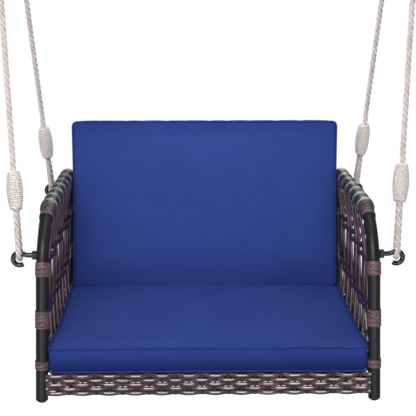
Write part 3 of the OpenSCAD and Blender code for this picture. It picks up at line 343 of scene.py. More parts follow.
def piece(name, mesh, material, body, slot, *nodes):
    """Shows a mesh as a piece that rides on a body and stands for CAD nodes."""
    shown = bpy.data.objects.new(name, mesh)
    bpy.context.scene.collection.objects.link(shown)
    if not mesh.materials:
        mesh.materials.append(material)
    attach(shown, body)
    if nodes:
        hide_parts(*nodes)
    return shown


def rope_frame(corner):
    """A rope's lower pivot, its span and its own axes: u, v across and w up it."""
    place, side = corner.split("_")
    y, z = HOOKS[place]
    low = side_point(SIDES[side], [HOOK_LOOP_X, y, z + HOOK_RISE])
    back = -CEILING_Y if place == "front" else CEILING_Y
    high = np.array([SIDES[side] * CEILING_X, HANG_Y + back, CEILING_H - RING_DROP])
    w = unit(high - low)
    v = unit(np.cross(w, [1, 0, 0]))
    return low, np.linalg.norm(high - low), np.cross(v, w), v, w


def eye_leg(wide, deep, lash):
    """Half an eye, from the underside of the rod up into the lashing, as (v, w)."""
    arc = [(wide * math.sin(a), -deep * math.cos(a)) for a in np.radians([22.5, 45, 67.5, 90])]
    ease = [(wide - s * (wide - LEG_V), 14 + h * (lash - 14)) for s, h in [(0.3, 0.35), (0.8, 0.8)]]
    return [*arc, (wide, 14), *ease, (LEG_V, lash)]


def rope_route(corner):
    """The rope's middle line as (v, w), from the lower tail to the upper tail."""
    lash = LASH_FROM[corner]
    span = rope_frame(corner)[1]
    tight = HOOK_D / 2 + ROPE_R + 0.5
    low = (tight, tight) if "front" in corner else (HOOK_D / 2 + ROPE_R + 3.4, tight + 0.4)
    start, stop = lash + LASH_L, span - UPPER_FROM - UPPER_L
    lower, upper = eye_leg(*low, lash), eye_leg(tight, tight, UPPER_FROM)
    middle = np.linspace(start + 26, stop - 26, 12)
    return [
        (LEG_V, start - 4), (LEG_V, lash + LASH_L / 2),
        *reversed(lower), (0, -low[1]), *[(-v, w) for v, w in lower],
        (-LEG_V, lash + LASH_L / 2), (-LEG_V, start), (-LEG_V / 2, start + 12),
        *[(0, w) for w in middle],
        (-LEG_V / 2, stop - 12), (-LEG_V, stop), (-LEG_V, stop + UPPER_L / 2),
        *[(-v, span - w) for v, w in reversed(upper)],
        (0, span + tight),
        *[(v, span - w) for v, w in upper],
        (LEG_V, stop + UPPER_L / 2), (LEG_V, stop + 4),
    ]


def strand_outline(count, centre=2.9, radius=3.12):
    """The outline of three strands laid together: radius by angle, count points a strand."""
    phi = np.radians((np.arange(count) + 0.5) * 120 / count - 60)
    lobe = centre * np.cos(phi) + np.sqrt(radius ** 2 - (centre * np.sin(phi)) ** 2)
    return np.tile(lobe, 3)


laid = Finish("rope_cream")
around = laid.axis(laid.uv(), "X")
along = laid.axis(laid.uv(), "Y")
yarn = (around * (2 * math.pi * 6) + along * 900).sin()
fibre = laid.noise(2600, 2.0, 0.6)
# painted shade: the grooves between the three strands are darkened
valley_shade = ((around.fract() - 0.5).size() * 2).above(0.62, 1.0)
tinted = ((around * 2 + along * 48).fract() - 0.5).size().above(0.36, 0.47)
cloudy = laid.noise(55, 2.0, 0.5)
cream = laid.mix(rgba("f5eeeb"), rgba("e3d7d1"), cloudy.above(0.35, 0.75))
cream = laid.mix(cream, rgba("cfa9a2"), tinted * 0.55)
fleck = laid.noise(420, 1.0, 0.4).above(0.70, 0.76)
cream = laid.mix(cream, rgba("8a5a4c"), fleck * 0.5)
cream = laid.mix(cream, rgba("a08a7c"), valley_shade * 0.75)
laid.shade(
    Base_Color=cream,
    Roughness=0.82,
    Sheen_Weight=0.25,
    Sheen_Roughness=0.5,
    Normal=laid.bump(yarn * 0.5 + fibre * 0.9, 0.0009, 0.8),
)

LOBE_POINTS = 9
corners = ["front_left", "front_right", "rear_left", "rear_right"]
rope_lines = {}
for corner in corners:
    low, span, u, v, w = rope_frame(corner)
    flat = smooth(rope_route(corner), 2.2)
    path = seat(low + flat[:, :1] * v + flat[:, 1:] * w)
    gone = lengths(path)
    radius = strand_outline(LOBE_POINTS) / 1000
    base = (np.arange(3 * LOBE_POINTS) + 0.5) * 2 * math.pi / (3 * LOBE_POINTS)
    angle = base[None, :] - 2 * math.pi * gone[:, None] / ROPE_LAY
    profile = columns(radius * np.cos(angle), radius * np.sin(angle))
    rope_lines[corner] = path, float(gone[-1])
    mesh = skin(f"rope_{corner}_laid", rings_along(path, u, profile), gone, 3.0)
    piece(f"rope_{corner}_laid", mesh, laid.material, f"rope_{corner}", "rope", f"rope_{corner}")

# ---------------------------------------------------------------------------------------
# The lashings: where a rope's eye closes, a thinner twisted cord is wound tightly round
# both of its legs. Seventeen turns hold the hook's end, and twelve the ceiling's end.

LASH_R = 1.95
LASH_TURNS, LASH_U, LASH_SWELL = 17, 9.9, 4.9
UPPER_TURNS, UPPER_SWELL = 12, 2.6
LASH_V = LEG_V + ROPE_R + LASH_R + 0.2

cord = Finish("lashing_cream")
twist = (cord.axis(cord.uv(), "X") * (2 * math.pi * 3) + cord.axis(cord.uv(), "Y") * 2400).sin()
fuzz = cord.noise(1800, 2.0, 0.6)
stain = cord.noise(240, 2.0, 0.5).above(0.50, 0.72)
shade = cord.mix(rgba("f1e9e5"), rgba("cdb0a8"), stain * 0.75)
shade = cord.mix(shade, rgba("b39a8a"), twist.above(0.55, 1.0) * 0.35)
cord.shade(
    Base_Color=shade,
    Roughness=0.85,
    Sheen_Weight=0.2,
    Normal=cord.bump(twist * 0.6 + fuzz * 0.5, 0.0006, 0.8),
)


def wound_cord(turns, height, wide, deep, swell):
    """The middle line of a cord wound in an oval helix, fuller in its middle, as (u, v, w)."""
    t = np.linspace(0, turns, turns * 30 + 1)
    pitch = (height - 2 * LASH_R - 2) / turns
    out = swell * np.sin(np.pi * t / turns) ** 0.75
    a = 2 * np.pi * t
    u, v = (wide + out) * np.cos(a), (deep + out * 0.4) * np.sin(a)
    return columns(u, v, LASH_R + 1 + pitch * t)


def lashing(name, corner, foot, turns, height, wide, deep, swell, node):
    low, span, *axes = rope_frame(corner)
    axes = np.array(axes)
    line = wound_cord(turns, height, wide, deep, swell)
    path = seat(low + foot * axes[2] + line @ axes)
    ring = circle(LASH_R + 0.12, 10)
    cord_skin = skin(f"{name}_cord", rings_along(path, axes[2], ring), lengths(path))
    # the coil's own core closes the view between two turns
    s = np.linspace(0.02, 0.98, 25)
    out = swell * np.sin(np.pi * s) ** 0.75 - 0.5
    a = np.linspace(0, 2 * np.pi, 28, endpoint=False)
    u, v = (wide + out)[:, None] * np.cos(a), (deep + out * 0.4)[:, None] * np.sin(a)
    core = columns(u, v, s[:, None] * height)
    core = seat(low + foot * axes[2] + core @ axes)
    mesh = joined(name, [cord_skin, skin(f"{name}_core", core, s * height / 1000)])
    return piece(name, mesh, cord.material, f"rope_{corner}", "lashing_cord", node)


for corner in corners:
    span = rope_frame(corner)[1]
    lower = lashing(
        f"lashing_{corner}_wound", corner, LASH_FROM[corner], LASH_TURNS, LASH_L,
        LASH_U, LASH_V, LASH_SWELL, f"lashing_{corner}",
    )
    upper = lashing(
        f"upper_lashing_{corner}_wound", corner, span - UPPER_FROM - UPPER_L, UPPER_TURNS, UPPER_L,
        LASH_U - 0.6, LASH_V - 0.3, UPPER_SWELL, f"upper_lashing_{corner}",
    )
    path, length = rope_lines[corner]

# ---------------------------------------------------------------------------------------
# The frames: bent steel tube, 25 mm for the arched sides and 19 mm for seat and back,
# welded, coped at the joints and powder coated in a fine-grained satin charcoal.


def powder_coat(name, code, rough):
    coat = Finish(name)
    grain = coat.noise(1500, 2.0, 0.6)
    drift = coat.noise(14, 3.0, 0.5)
    body = coat.mix(rgba(code), rgba("26292a"), drift.above(0.4, 0.8) * 0.35)
    body = coat.mix(body, rgba("3c3f40"), coat.noise(520, 2.0, 0.6).above(0.66, 0.78) * 0.25)
    coat.shade(
        Base_Color=body,
        Roughness=drift * 0.10 + grain * 0.06 + rough,
        Normal=coat.bump(grain, 0.00018, 0.7),
    )
    return coat.material


def refinish(material, *nodes):
    """Gives CAD nodes that stay visible their own material."""
    for node in nodes:
        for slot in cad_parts[node].material_slots:
            slot.material = material


tube_black = powder_coat("tube_black", "17191b", 0.28)
refinish(tube_black, "side_frame_left", "side_frame_right", "seat_frame", "back_frame", "seat_slats")

rubber = Finish("foot_rubber_moulded")
grain = rubber.noise(700, 3.0, 0.6)
wear_and_painted_light = rubber.noise(60, 2.0, 0.5).above(0.45, 0.75)
rubber.shade(
    Base_Color=rubber.mix(rgba("141516"), rgba("2a2b2c"), wear_and_painted_light),
    Roughness=grain * 0.2 + 0.55,
    Normal=rubber.bump(grain, 0.0003, 0.6),
)
refinish(rubber.material, "foot_plugs")

# ---------------------------------------------------------------------------------------
# Hooks, ceiling eyes, nuts and bolts: bent rod and turned fasteners. Hooks, eyes and bolts
# are gloss black, the hooks' nuts and inserts are blackened, and the rest is zinc plated.

gloss = Finish("steel_gloss_black")
ripple = gloss.noise(90, 3.0, 0.5)
chips = gloss.noise(640, 3.0, 0.6).above(0.71, 0.76)
gloss.shade(
    Base_Color=gloss.mix(rgba("121214"), rgba("4a4643"), chips * 0.5),
    Roughness=ripple * 0.18 + 0.14,
    Coat_Weight=0.4,
    Coat_Roughness=0.1,
    Normal=gloss.bump(ripple, 0.0006, 0.35),
)
refinish(gloss.material, *[f"hook_{c}" for c in corners], *[f"ceiling_eye_{c}" for c in corners])
refinish(gloss.material, "frame_bolts", "back_bolts")

black_oxide = Finish("steel_black_oxide")
dulled = black_oxide.noise(380, 3.0, 0.6)
black_oxide.shade(
    Base_Color=black_oxide.mix(rgba("141416"), rgba("34343a"), dulled.above(0.45, 0.7)),
    Roughness=dulled * 0.2 + 0.34,
    Normal=black_oxide.bump(dulled, 0.0003, 0.5),
)
refinish(black_oxide.material, "hook_nuts", "hook_inserts")

zinc = Finish("steel_zinc_plated")
cloud = zinc.noise(130, 4.0, 0.6)
brushed = zinc.noise(1.0, 3.0, 0.6, zinc.mapped((300, 2600, 2600)))
zinc.shade(
    Base_Color=zinc.mix(rgba("a8abae"), rgba("cfd0cd"), cloud.above(0.35, 0.7)),
    Metallic=1.0,
    Roughness=cloud * 0.2 + 0.28,
    Normal=zinc.bump(brushed, 0.0003, 0.3),
)
refinish(zinc.material, "rivet_nuts", "spacer_washers", "back_nuts")

# ---------------------------------------------------------------------------------------
# The canes: round resin wicker, 7 mm thick, extruded with fine grooves along it. Each is
# bent over the arm and under the rail, with a leg on either side of the panel, and the ten
# of the back go over its top tube in the same way. CANE_R places the strips around them.

CANE_R = 3.0
PINCH = CANE_R + 0.3
FRONT_R, REAR_R, DEPTH, ARM_H, ARM_FALL = 125.0, 70.0, 585.0, 377.0, math.radians(1)
RAIL_H, RAIL_R, SEAT_TUBE_R = 43.0, 8.0, 9.5
STRIP_H, STRIP_T, STRIP_STEP = 8.6, 1.6, 9.0
TIE_ROWS = [(64, 2), (152, 4), (260, 3)]
BACK_ROWS = [(90, 2), (200, 4), (305, 3)]
FIRST_CANE, CANE_PITCH, CANE_COUNT = 116, 62, 7
cane_ys = [FIRST_CANE + CANE_PITCH * k for k in range(CANE_COUNT)]
RECLINE = math.radians(8)
SEAT_DEPTH, BACK_H, BACK_CORNER_R = 534.0, 398.0, 60.0
BACK_FOOT_Z = RAIL_H + 2 * SEAT_TUBE_R + 0.1
rail_wrap_r = (RAIL_R + CANE_R + 0.1) / math.cos(math.radians(15))
arm_wrap_r = TUBE_R + 1.8
back_wrap_r = (SEAT_TUBE_R + CANE_R + 0.1) / math.cos(math.radians(15))
SEAT_RAIL_X = POST_X - (rail_wrap_r + CANE_R) * math.cos(LEAN) - RAIL_H * math.sin(LEAN) - 2.6 - SEAT_TUBE_R
BACK_X = SEAT_RAIL_X - 2 * SEAT_TUBE_R - 1
front_centre = np.array([FRONT_R, ARM_H - FRONT_R * math.cos(ARM_FALL)])
arm_start = front_centre + FRONT_R * np.array([math.sin(ARM_FALL), math.cos(ARM_FALL)])
rear_y = DEPTH - REAR_R
rear_run = rear_y + REAR_R * math.sin(ARM_FALL) - arm_start[0]
rear_centre = np.array([rear_y, ARM_H - rear_run * math.tan(ARM_FALL) - REAR_R * math.cos(ARM_FALL)])


def arch_z(y):
    """Height of the arch's axis at a distance y behind the front post."""
    if y < arm_start[0]:
        return front_centre[1] + math.sqrt(FRONT_R ** 2 - (FRONT_R - y) ** 2)
    return ARM_H - (y - arm_start[0]) * math.tan(ARM_FALL)


def front_arch_y(z):
    """How far the front of the arch has come back at a height z."""
    rise = max(0.0, z - front_centre[1])
    return FRONT_R - math.sqrt(FRONT_R ** 2 - rise ** 2)


def row_foot(row):
    return row[0] - 3


def row_head(row):
    return row[0] + row[1] * STRIP_STEP + 3


def back_point(p):
    """A point of the back's plane (x, behind it, up along it) in the seat's millimetres."""
    x, y, z = np.moveaxis(np.asarray(p, dtype=float), -1, 0)
    back = SEAT_DEPTH + y * math.cos(RECLINE) + z * math.sin(RECLINE)
    return columns(x, back, BACK_FOOT_Z + z * math.cos(RECLINE) - y * math.sin(RECLINE))


def arc(r, z, start, stop, rise=1.0, count=13):
    a = np.radians(np.linspace(start, stop, count))
    return columns(r * np.cos(a), 0, z + r * rise * np.sin(a))


def cane_line(k):
    """One cane as (out of the panel, back, up): under the rail, over the arm, and down."""
    y = cane_ys[k]
    steep = abs(arch_z(y + 1) - arch_z(y - 1)) / 2
    low = arc(rail_wrap_r, RAIL_H, 262, 184, count=7)
    top = arc(arm_wrap_r, arch_z(y), 176, 4, math.hypot(1, steep))
    pull = 9 * (1 if k % 2 == 0 else -1)
    _, lower, upper = TIE_ROWS
    up = np.array([
        [-PINCH, 0, row_foot(lower)], [-PINCH, 0, row_head(lower)],
        [-PINCH, -pull, row_foot(upper)], [-PINCH, -pull, row_head(upper)],
    ])
    down = up[::-1] * [-1, -1, 1]
    line = np.vstack([low, up, top, down, low[::-1] * [-1, 1, 1]])
    line = smooth(line + [0, y, 0], 5)
    # the wound strip presses the cane flat against the arm
    near = np.hypot(line[:, 0], (line[:, 2] - arch_z(y)) / math.hypot(1, steep))
    flat = np.clip((near - arm_wrap_r - 1) / 5, 0, 1)
    return np.column_stack([line, 0.46 + 0.54 * flat * flat * (3 - 2 * flat)])


def back_cane_line(x):
    """One cane of the back, in the back's own plane."""
    low = arc(back_wrap_r, 0, 202, 184, count=3)
    top = arc(back_wrap_r, BACK_H, 176, 4)
    heights = [row_foot(BACK_ROWS[1]), 260, row_head(BACK_ROWS[2])]
    up = np.array([[-PINCH, 0, z] for z in heights])
    line = np.vstack([low, up, top, up[::-1] * [-1, 1, 1], low[::-1] * [-1, 1, 1]])
    line = smooth(line, 5)
    return columns(x, line[:, 0], line[:, 2])


def wicker(name, dark, light, sheen, lines=9.0, wear_and_painted_light=None):
    """Extruded resin wicker: painted shade in its fine grooves, streaks of a second tone, pale streaks of
    painted sheen, a soft gloss.
    """
    resin = Finish(name)
    turn = resin.node("ShaderNodeAttribute", {"attribute_name": "section"}, out="Vector")
    angle = resin.axis(turn, "Y").angle(resin.axis(turn, "X"))
    run = resin.node("ShaderNodeAttribute", {"attribute_name": "run"}, out="Fac")
    streak = resin.node("ShaderNodeCombineXYZ", {}, {0: angle * 2.2, 1: run * 9, 2: run * 0.7})
    tone = resin.noise(1.6, 3.0, 0.6, streak)
    groove = (angle * lines).sin()
    body = resin.mix(rgba(dark), rgba(light), tone.above(0.35, 0.68))
    # painted shade in the fine grooves
    body = resin.mix(body, rgba("1d1517"), groove.above(0.1, 1.0) * 0.55)
    # pale streaks of the sheen colour: painted sheen along the strand
    pale = resin.noise(2.4, 2.0, 0.5, streak).above(0.58, 0.72)
    body = resin.mix(body, rgba(sheen), pale * 0.45)
    # an optional function adds painted highlights and shade on top
    if wear_and_painted_light is not None:
        body = wear_and_painted_light(resin, body, tone, turn)
    resin.shade(
        Base_Color=body,
        Roughness=tone * 0.16 + 0.20,
        Normal=resin.bump(groove * -0.5 + tone * 0.5, 0.0005, 0.5),
    )
    return resin.material


def painted_highlight_lines(resin, body, tone, turn):
    """Painted highlight: paler lines along the front and the back of a cane, where its round catches the
    light.
    """
    crest = resin.axis(turn, "X").size().above(0.90, 0.99)
    return resin.mix(body, rgba("c4b3b6"), crest * (tone.above(0.36, 0.62) * 0.6 + 0.08))


cane_brown = wicker("cane_brown", "2a1d21", "624447", "a3898c", 9.0, painted_highlight_lines)


def sweep_tree():
    """Sweeps a full oval section along each line of a mesh, its height along a normal.

    Each line keeps the metres run along it, and each section its own x and y.
    """
    tree = bpy.data.node_groups.new("wicker_sweep", "GeometryNodeTree")
    sockets = {
        "Lines": "Geometry", "Height": "Float", "Thickness": "Float", "Fullness": "Float",
        "Facing": "Vector", "Sides": "Int", "Finish": "Material",
    }
    for name, kind in sockets.items():
        tree.interface.new_socket(name, in_out="INPUT", socket_type=f"NodeSocket{kind}")
    tree.interface.new_socket("Geometry", in_out="OUTPUT", socket_type="NodeSocketGeometry")

    def add(kind, settings=None, values=None, out=0):
        return add_node(tree, kind, settings, values).outputs[out]

    start = add_node(tree, "NodeGroupInput").outputs
    curve = add("GeometryNodeMeshToCurve", {}, {0: start["Lines"]})
    facing = {"Curve": curve, "Normal": start["Facing"]}
    curve = add("GeometryNodeSetCurveNormal", {"mode": "FREE"}, facing)
    run = add("GeometryNodeSplineParameter", out="Length")
    curve = add(
        "GeometryNodeStoreNamedAttribute", {"data_type": "FLOAT", "domain": "POINT"},
        {"Name": "run", "Geometry": curve, "Value": run},
    )
    circle = add("GeometryNodeCurvePrimitiveCircle", {}, {"Resolution": start["Sides"], "Radius": 1.0})
    place = add("GeometryNodeInputPosition")
    bare = add("ShaderNodeVectorMath", {"operation": "ABSOLUTE"}, {0: place})
    way = add("ShaderNodeVectorMath", {"operation": "SIGN"}, {0: place})
    full = add("ShaderNodeVectorMath", {"operation": "POWER"}, {0: bare, 1: (0.7, 0.7, 0.7)})
    filled = add("ShaderNodeVectorMath", {"operation": "MULTIPLY"}, {0: full, 1: way})
    fuller = {0: start["Fullness"], 4: place, 5: filled}
    fuller = add("ShaderNodeMix", {"data_type": "VECTOR"}, fuller, 1)
    section = add("GeometryNodeSetPosition", {}, {"Geometry": circle, "Position": fuller})
    section = add(
        "GeometryNodeStoreNamedAttribute", {"data_type": "FLOAT_VECTOR", "domain": "POINT"},
        {"Name": "section", "Geometry": section, "Value": place},
    )
    size = add("ShaderNodeCombineXYZ", {}, {0: start["Height"], 1: start["Thickness"]})
    half = add("ShaderNodeVectorMath", {"operation": "SCALE"}, {0: size, "Scale": 0.5})
    section = add("GeometryNodeTransform", {}, {0: section, "Scale": half})
    girth = add("GeometryNodeInputNamedAttribute", {"data_type": "FLOAT"}, {"Name": "girth"}, "Attribute")
    tube = {"Curve": curve, "Profile Curve": section, "Scale": girth, "Fill Caps": True}
    tube = add("GeometryNodeCurveToMesh", {}, tube)
    soft = add("GeometryNodeSetShadeSmooth", {}, {0: tube})
    real = add("GeometryNodeRealizeInstances", {}, {0: soft})
    shown = add("GeometryNodeSetMaterial", {}, {0: real, "Material": start["Finish"]})
    add_node(tree, "NodeGroupOutput", {}, {0: shown})
    return tree


sweep = sweep_tree()


def lines_mesh(name, lines):
    """Lines as the edges of a mesh. A fourth column is how much thinner the piece is there."""
    mesh = bpy.data.meshes.new(name)
    edges, base = [], 0
    for line in lines:
        edges += [(base + i, base + i + 1) for i in range(len(line) - 1)]
        base += len(line)
    points = np.vstack(lines)
    mesh.from_pydata(points[:, :3].tolist(), edges, [])
    girth = mesh.attributes.new("girth", "FLOAT", "POINT")
    girth.data.foreach_set("value", points[:, 3] if points.shape[1] == 4 else np.ones(len(points)))
    return mesh


def grown(name, mesh, tree, values):
    """The plain mesh that a node tree makes of a mesh, with the tree's named inputs set."""
    host = bpy.data.objects.new(f"{name}_lines", mesh)
    bpy.context.scene.collection.objects.link(host)
    modifier = host.modifiers.new("grow", "NODES")
    modifier.node_group = tree
    for item in tree.interface.items_tree:
        if item.in_out == "INPUT" and item.name in values:
            modifier[item.identifier] = values[item.name]
    host.update_tag()
    depsgraph = bpy.context.evaluated_depsgraph_get()
    made = bpy.data.meshes.new_from_object(host.evaluated_get(depsgraph), depsgraph=depsgraph)
    made.name = name
    bpy.data.objects.remove(host)
    return made


def swept(name, lines, height, thickness, facing, sides, material, body, slot, *nodes):
    """A piece of canes or strips that are swept along lines given in millimetres."""
    values = {
        "Height": height / 1000, "Thickness": thickness / 1000, "Facing": tuple(facing),
        "Sides": sides, "Finish": material, "Fullness": 0.0 if height == thickness else 1.0,
    }
    lines = [np.column_stack([seat(np.array(line)[:, :3]), np.array(line)[:, 3:]]) for line in lines]
    mesh = grown(name, lines_mesh(name, lines), sweep, values)
    return piece(name, mesh, material, body, slot, *nodes)


for side, sign in SIDES.items():
    canes = [cane_line(k) for k in range(CANE_COUNT)]
    lines = [np.column_stack([side_point(sign, c[:, :3]), c[:, 3]]) for c in canes]
    swept(f"canes_{side}_bent", lines, 7, 7, (0, 1, 0), 12, cane_brown, "seat", "cane", f"canes_{side}")

back_xs = (np.arange(10) - 4.5) * 2 * (BACK_X - BACK_CORNER_R) / 9
lines = [back_point(back_cane_line(x)) for x in back_xs]
swept("back_canes_bent", lines, 6.6, 6.6, (1, 0, 0), 12, cane_brown, "seat", "cane", "back_canes")

# ---------------------------------------------------------------------------------------
# The weavers: flat resin strips that run in and out of the canes in three tie rows on each
# side and three on the back, and hold the canes in place.

weaver_brown = wicker("weaver_brown", "241b20", "45343a", "8d7c86", 14.0)


def weave_line(uprights, ends, start_side, reach, steps=8):
    """A strip's middle line as (across the panel, along it), in and out of the uprights."""
    n = len(uprights)
    side = [start_side * (1 if i % 2 == 0 else -1) for i in range(n)]
    s = np.arange(steps) / steps
    along = ends[0] + (uprights[0] - ends[0]) * s
    parts = [columns(side[0] * reach * np.sin(np.pi / 2 * s), along)]
    for i in range(n - 1):
        along = uprights[i] + (uprights[i + 1] - uprights[i]) * s
        parts.append(columns(side[i] * reach * np.cos(np.pi * s), along))
    s = np.arange(steps + 1) / steps
    along = uprights[-1] + (ends[1] - uprights[-1]) * s
    parts.append(columns(side[-1] * reach * np.cos(np.pi / 2 * s), along))
    return np.vstack(parts)


band_r = TUBE_R + 2.1
tie_reach = PINCH + CANE_R + STRIP_T / 2 + 0.1
upper_reach = tie_reach / math.cos(math.pi * 9 / CANE_PITCH) + 0.4
low_share = (row_foot(TIE_ROWS[1]) - TIE_ROWS[0][0]) / (row_foot(TIE_ROWS[1]) - RAIL_H)
low_reach = tie_reach + 0.3 + (rail_wrap_r - PINCH) * low_share
for side, sign in SIDES.items():
    lines = []
    for (foot, turns), reach in zip(TIE_ROWS, [low_reach, tie_reach, upper_reach]):
        for s in range(turns):
            z = foot + s * STRIP_STEP + STRIP_H / 2
            ends = (front_arch_y(foot + (s + 1) * STRIP_STEP) + band_r + 0.3, DEPTH - band_r - 0.3)
            flat = weave_line(cane_ys, ends, 1 if s % 2 == 0 else -1, reach)
            lines.append(side_point(sign, columns(*flat.T, z)))
    up = (-sign * math.sin(LEAN), 0, math.cos(LEAN))
    swept(
        f"side_weave_{side}_strips", lines, STRIP_STEP + 1.0, STRIP_T + 1.0, up, 16,
        weaver_brown, "seat", "weave", f"side_weave_{side}",
    )

low_share = (row_foot(BACK_ROWS[1]) - BACK_ROWS[0][0]) / row_foot(BACK_ROWS[1])
back_low_reach = tie_reach + 0.3 + (back_wrap_r - PINCH) * low_share
lines = []
for (foot, turns), reach in zip(BACK_ROWS, [back_low_reach, tie_reach, tie_reach]):
    for s in range(turns):
        ends = (-BACK_X + SEAT_TUBE_R + 0.3, BACK_X - SEAT_TUBE_R - 0.3)
        flat = weave_line(list(back_xs), ends, -1 if s % 2 == 0 else 1, reach)
        z = foot + s * STRIP_STEP + STRIP_H / 2
        lines.append(back_point(columns(flat[:, 1], flat[:, 0], z)))
up = (0, math.sin(RECLINE), math.cos(RECLINE))
swept(
    "back_weave_strips", lines, STRIP_STEP + 1.0, STRIP_T + 1.0, up, 16,
    weaver_brown, "seat", "weave", "back_weave",
)

# ---------------------------------------------------------------------------------------
# The apron and the deck: the same strips woven in five rows round thin stakes below the
# front edge, and in a close plain weave over the seat's tubes and slats.

APRON_TOP, APRON_H, APRON_ROWS, STAKE_Y = 56.0, 46.0, 5, -10.6
apron_half = SEAT_RAIL_X + 10.5
STAKE_PITCH = 27
stake_count = int(2 * apron_half // STAKE_PITCH)
stake_xs = [(k - (stake_count - 1) / 2) * STAKE_PITCH for k in range(stake_count)]
row_step = (APRON_H - 1) / APRON_ROWS


def bricks(resin, body, tone, turn):
    """Painted highlight on the crest of each brick, painted shade where a strip dips behind a stake, dark
    where two rows meet.
    """
    place = resin.place()
    row = (resin.axis(place, "Z") + (CEILING_H - APRON_TOP + APRON_H - 0.5) / 1000) / (row_step / 1000)
    up = row.fract()
    stake = resin.axis(place, "X") * (1000 / STAKE_PITCH) + (stake_count - 1) / 2
    off = (((stake + row - up) * 0.5 + 0.5).fract() - 0.5).size()
    # painted shade where the strip dips behind a stake
    body = resin.mix(body, rgba("140e12"), off.above(0.33, 0.48) * 0.7)
    body = resin.mix(body, rgba("100a0e"), ((up - 0.5).size() * 2).above(0.68, 0.95) * 0.85)
    # painted highlight on the crest of each brick
    crest = (1 - off.above(0.14, 0.23)) * up.above(0.46, 0.56) * (1 - up.above(0.68, 0.80))
    return resin.mix(body, rgba("ece7f1"), crest * (tone.above(0.28, 0.52) * 0.6 + 0.35))


apron_brown = wicker("apron_brown", "47333a", "7e6064", "b3a2ae", 12.0, bricks)
lines = []
for s in range(APRON_ROWS):
    flat = weave_line(stake_xs, (-apron_half - 7.6, apron_half + 7.6), -1 if s % 2 == 0 else 1, 3.5, 6)
    z = APRON_TOP - APRON_H + 0.2 + (s + 0.5) * row_step
    lines.append(columns(flat[:, 1], STAKE_Y + flat[:, 0], z))
swept(
    "apron_weave_strips", lines, row_step + 0.9, STRIP_T + 1.4, (0, 0, 1), 16,
    apron_brown, "seat", "weave", "apron_weave",
)
lines = [[(x, STAKE_Y, APRON_TOP - APRON_H + 1), (x, STAKE_Y, APRON_TOP - 1)] for x in stake_xs]
swept("apron_stakes_cut", lines, 5, 5, (1, 0, 0), 12, cane_brown, "seat", "weave", "apron_stakes")

deck_x = SEAT_RAIL_X + SEAT_TUBE_R
deck_front, deck_back = STAKE_Y + 2.5 + 0.1 + STRIP_T + 0.3, SEAT_DEPTH - SEAT_TUBE_R
DECK_Z = APRON_TOP - 1.7
warp_xs = np.linspace(-deck_x + 14, deck_x - 14, 23)
lines = []
count = int((deck_back - deck_front) // STRIP_STEP)
for i in range(count):
    y = deck_front + 4.5 + i * (deck_back - deck_front - 9) / (count - 1)
    flat = weave_line(list(warp_xs), (-deck_x + 1, deck_x - 1), 1 if i % 2 == 0 else -1, 0.85, 4)
    lines.append(columns(flat[:, 1], y, DECK_Z + flat[:, 0]))
swept(
    "seat_deck_strips", lines, STRIP_H + 0.2, STRIP_T, (0, 1, 0), 8,
    weaver_brown, "seat", "weave", "seat_deck",
)
deck_ys = [deck_front, (deck_front + deck_back) / 2, deck_back]
lines = [[(x, y, DECK_Z) for y in deck_ys] for x in warp_xs]
swept("seat_deck_warps", lines, 9, 1.4, (1, 0, 0), 10, weaver_brown, "seat", "weave")

# ---------------------------------------------------------------------------------------
# Arm wraps and post bands: the same flat strip wound tightly round the tubes. On the arm
# it passes over the canes and bulges at each, and on the posts it ties off the rows.


def winder(name, dark, light, edge, pitch, first=None):
    """Wound strip: streaks, fine raised lines along it painted paler as highlights, and a dark joint
    between its turns.

    After its first metres, it has painted shade beside every cane that it covers and a painted highlight
    over it.
    """
    strip = Finish(name)
    place = strip.uv()
    turn, run = strip.axis(place, "X"), strip.axis(place, "Y")
    phase = run / pitch + turn
    streak = strip.node("ShaderNodeCombineXYZ", {}, {0: turn * 7, 1: run * 210, 2: run * 13})
    tone = strip.noise(1.4, 3.0, 0.6, streak)
    lines = (phase * (2 * math.pi * 3)).sin()
    joint = ((phase.fract() - 0.5).size() * 2).above(0.80, 1.0)
    body = strip.mix(rgba(dark), rgba(light), tone.above(0.34, 0.70))
    if first is not None:
        brown = strip.mix(rgba("36262a"), rgba("5f464a"), tone.above(0.34, 0.70))
        off = ((strip.axis(strip.place(), "Y") * (1000 / CANE_PITCH) + CANE_PHASE).fract() - 0.5).size()
        # painted highlight on the crest over each cane, painted shade in the crease between
        body = strip.mix(body, rgba("d8d7d5"), (1 - off.above(0.04, 0.17)) * tone.above(0.38, 0.60) * 0.85)
        body = strip.mix(body, rgba("08080a"), off.above(0.30, 0.44) * 0.94)
        body = strip.mix(brown, body, run.above(first, first + 0.012))
    # the raised fine lines are painted paler: painted highlights
    body = strip.mix(body, rgba(edge), lines.above(0.55, 1.0) * 0.35)
    body = strip.mix(body, rgba("151213"), joint * 0.75)
    strip.shade(
        Base_Color=body,
        Roughness=tone * 0.18 + 0.20,
        Normal=strip.bump(lines * 0.5 + tone * 0.4, 0.0004, 0.55),
    )
    return strip.material


PITCH = STRIP_STEP


def wound_rings(path, sign, low_r, rise, bulge=None):
    """Rings along a path whose radius follows the turns of a wound strip."""
    gone = lengths(path)
    count = 32
    turn = np.arange(count) / count
    phase = gone[:, None] / PITCH + turn[None, :]
    dome = 1 - np.abs(2 * (phase % 1) - 1) ** 5
    slack = np.random.default_rng(11).uniform(-0.12, 0.12, 400)[np.floor(phase).astype(int) % 400]
    r = low_r + rise * dome + slack * dome
    if bulge is not None:
        r = r + bulge[:, None]
    a = 2 * np.pi * turn[None, :] * sign
    profile = columns(r * np.cos(a), r * np.sin(a)) / 1000
    return rings_along(seat(path), (sign, 0, 0), profile), gone / 1000


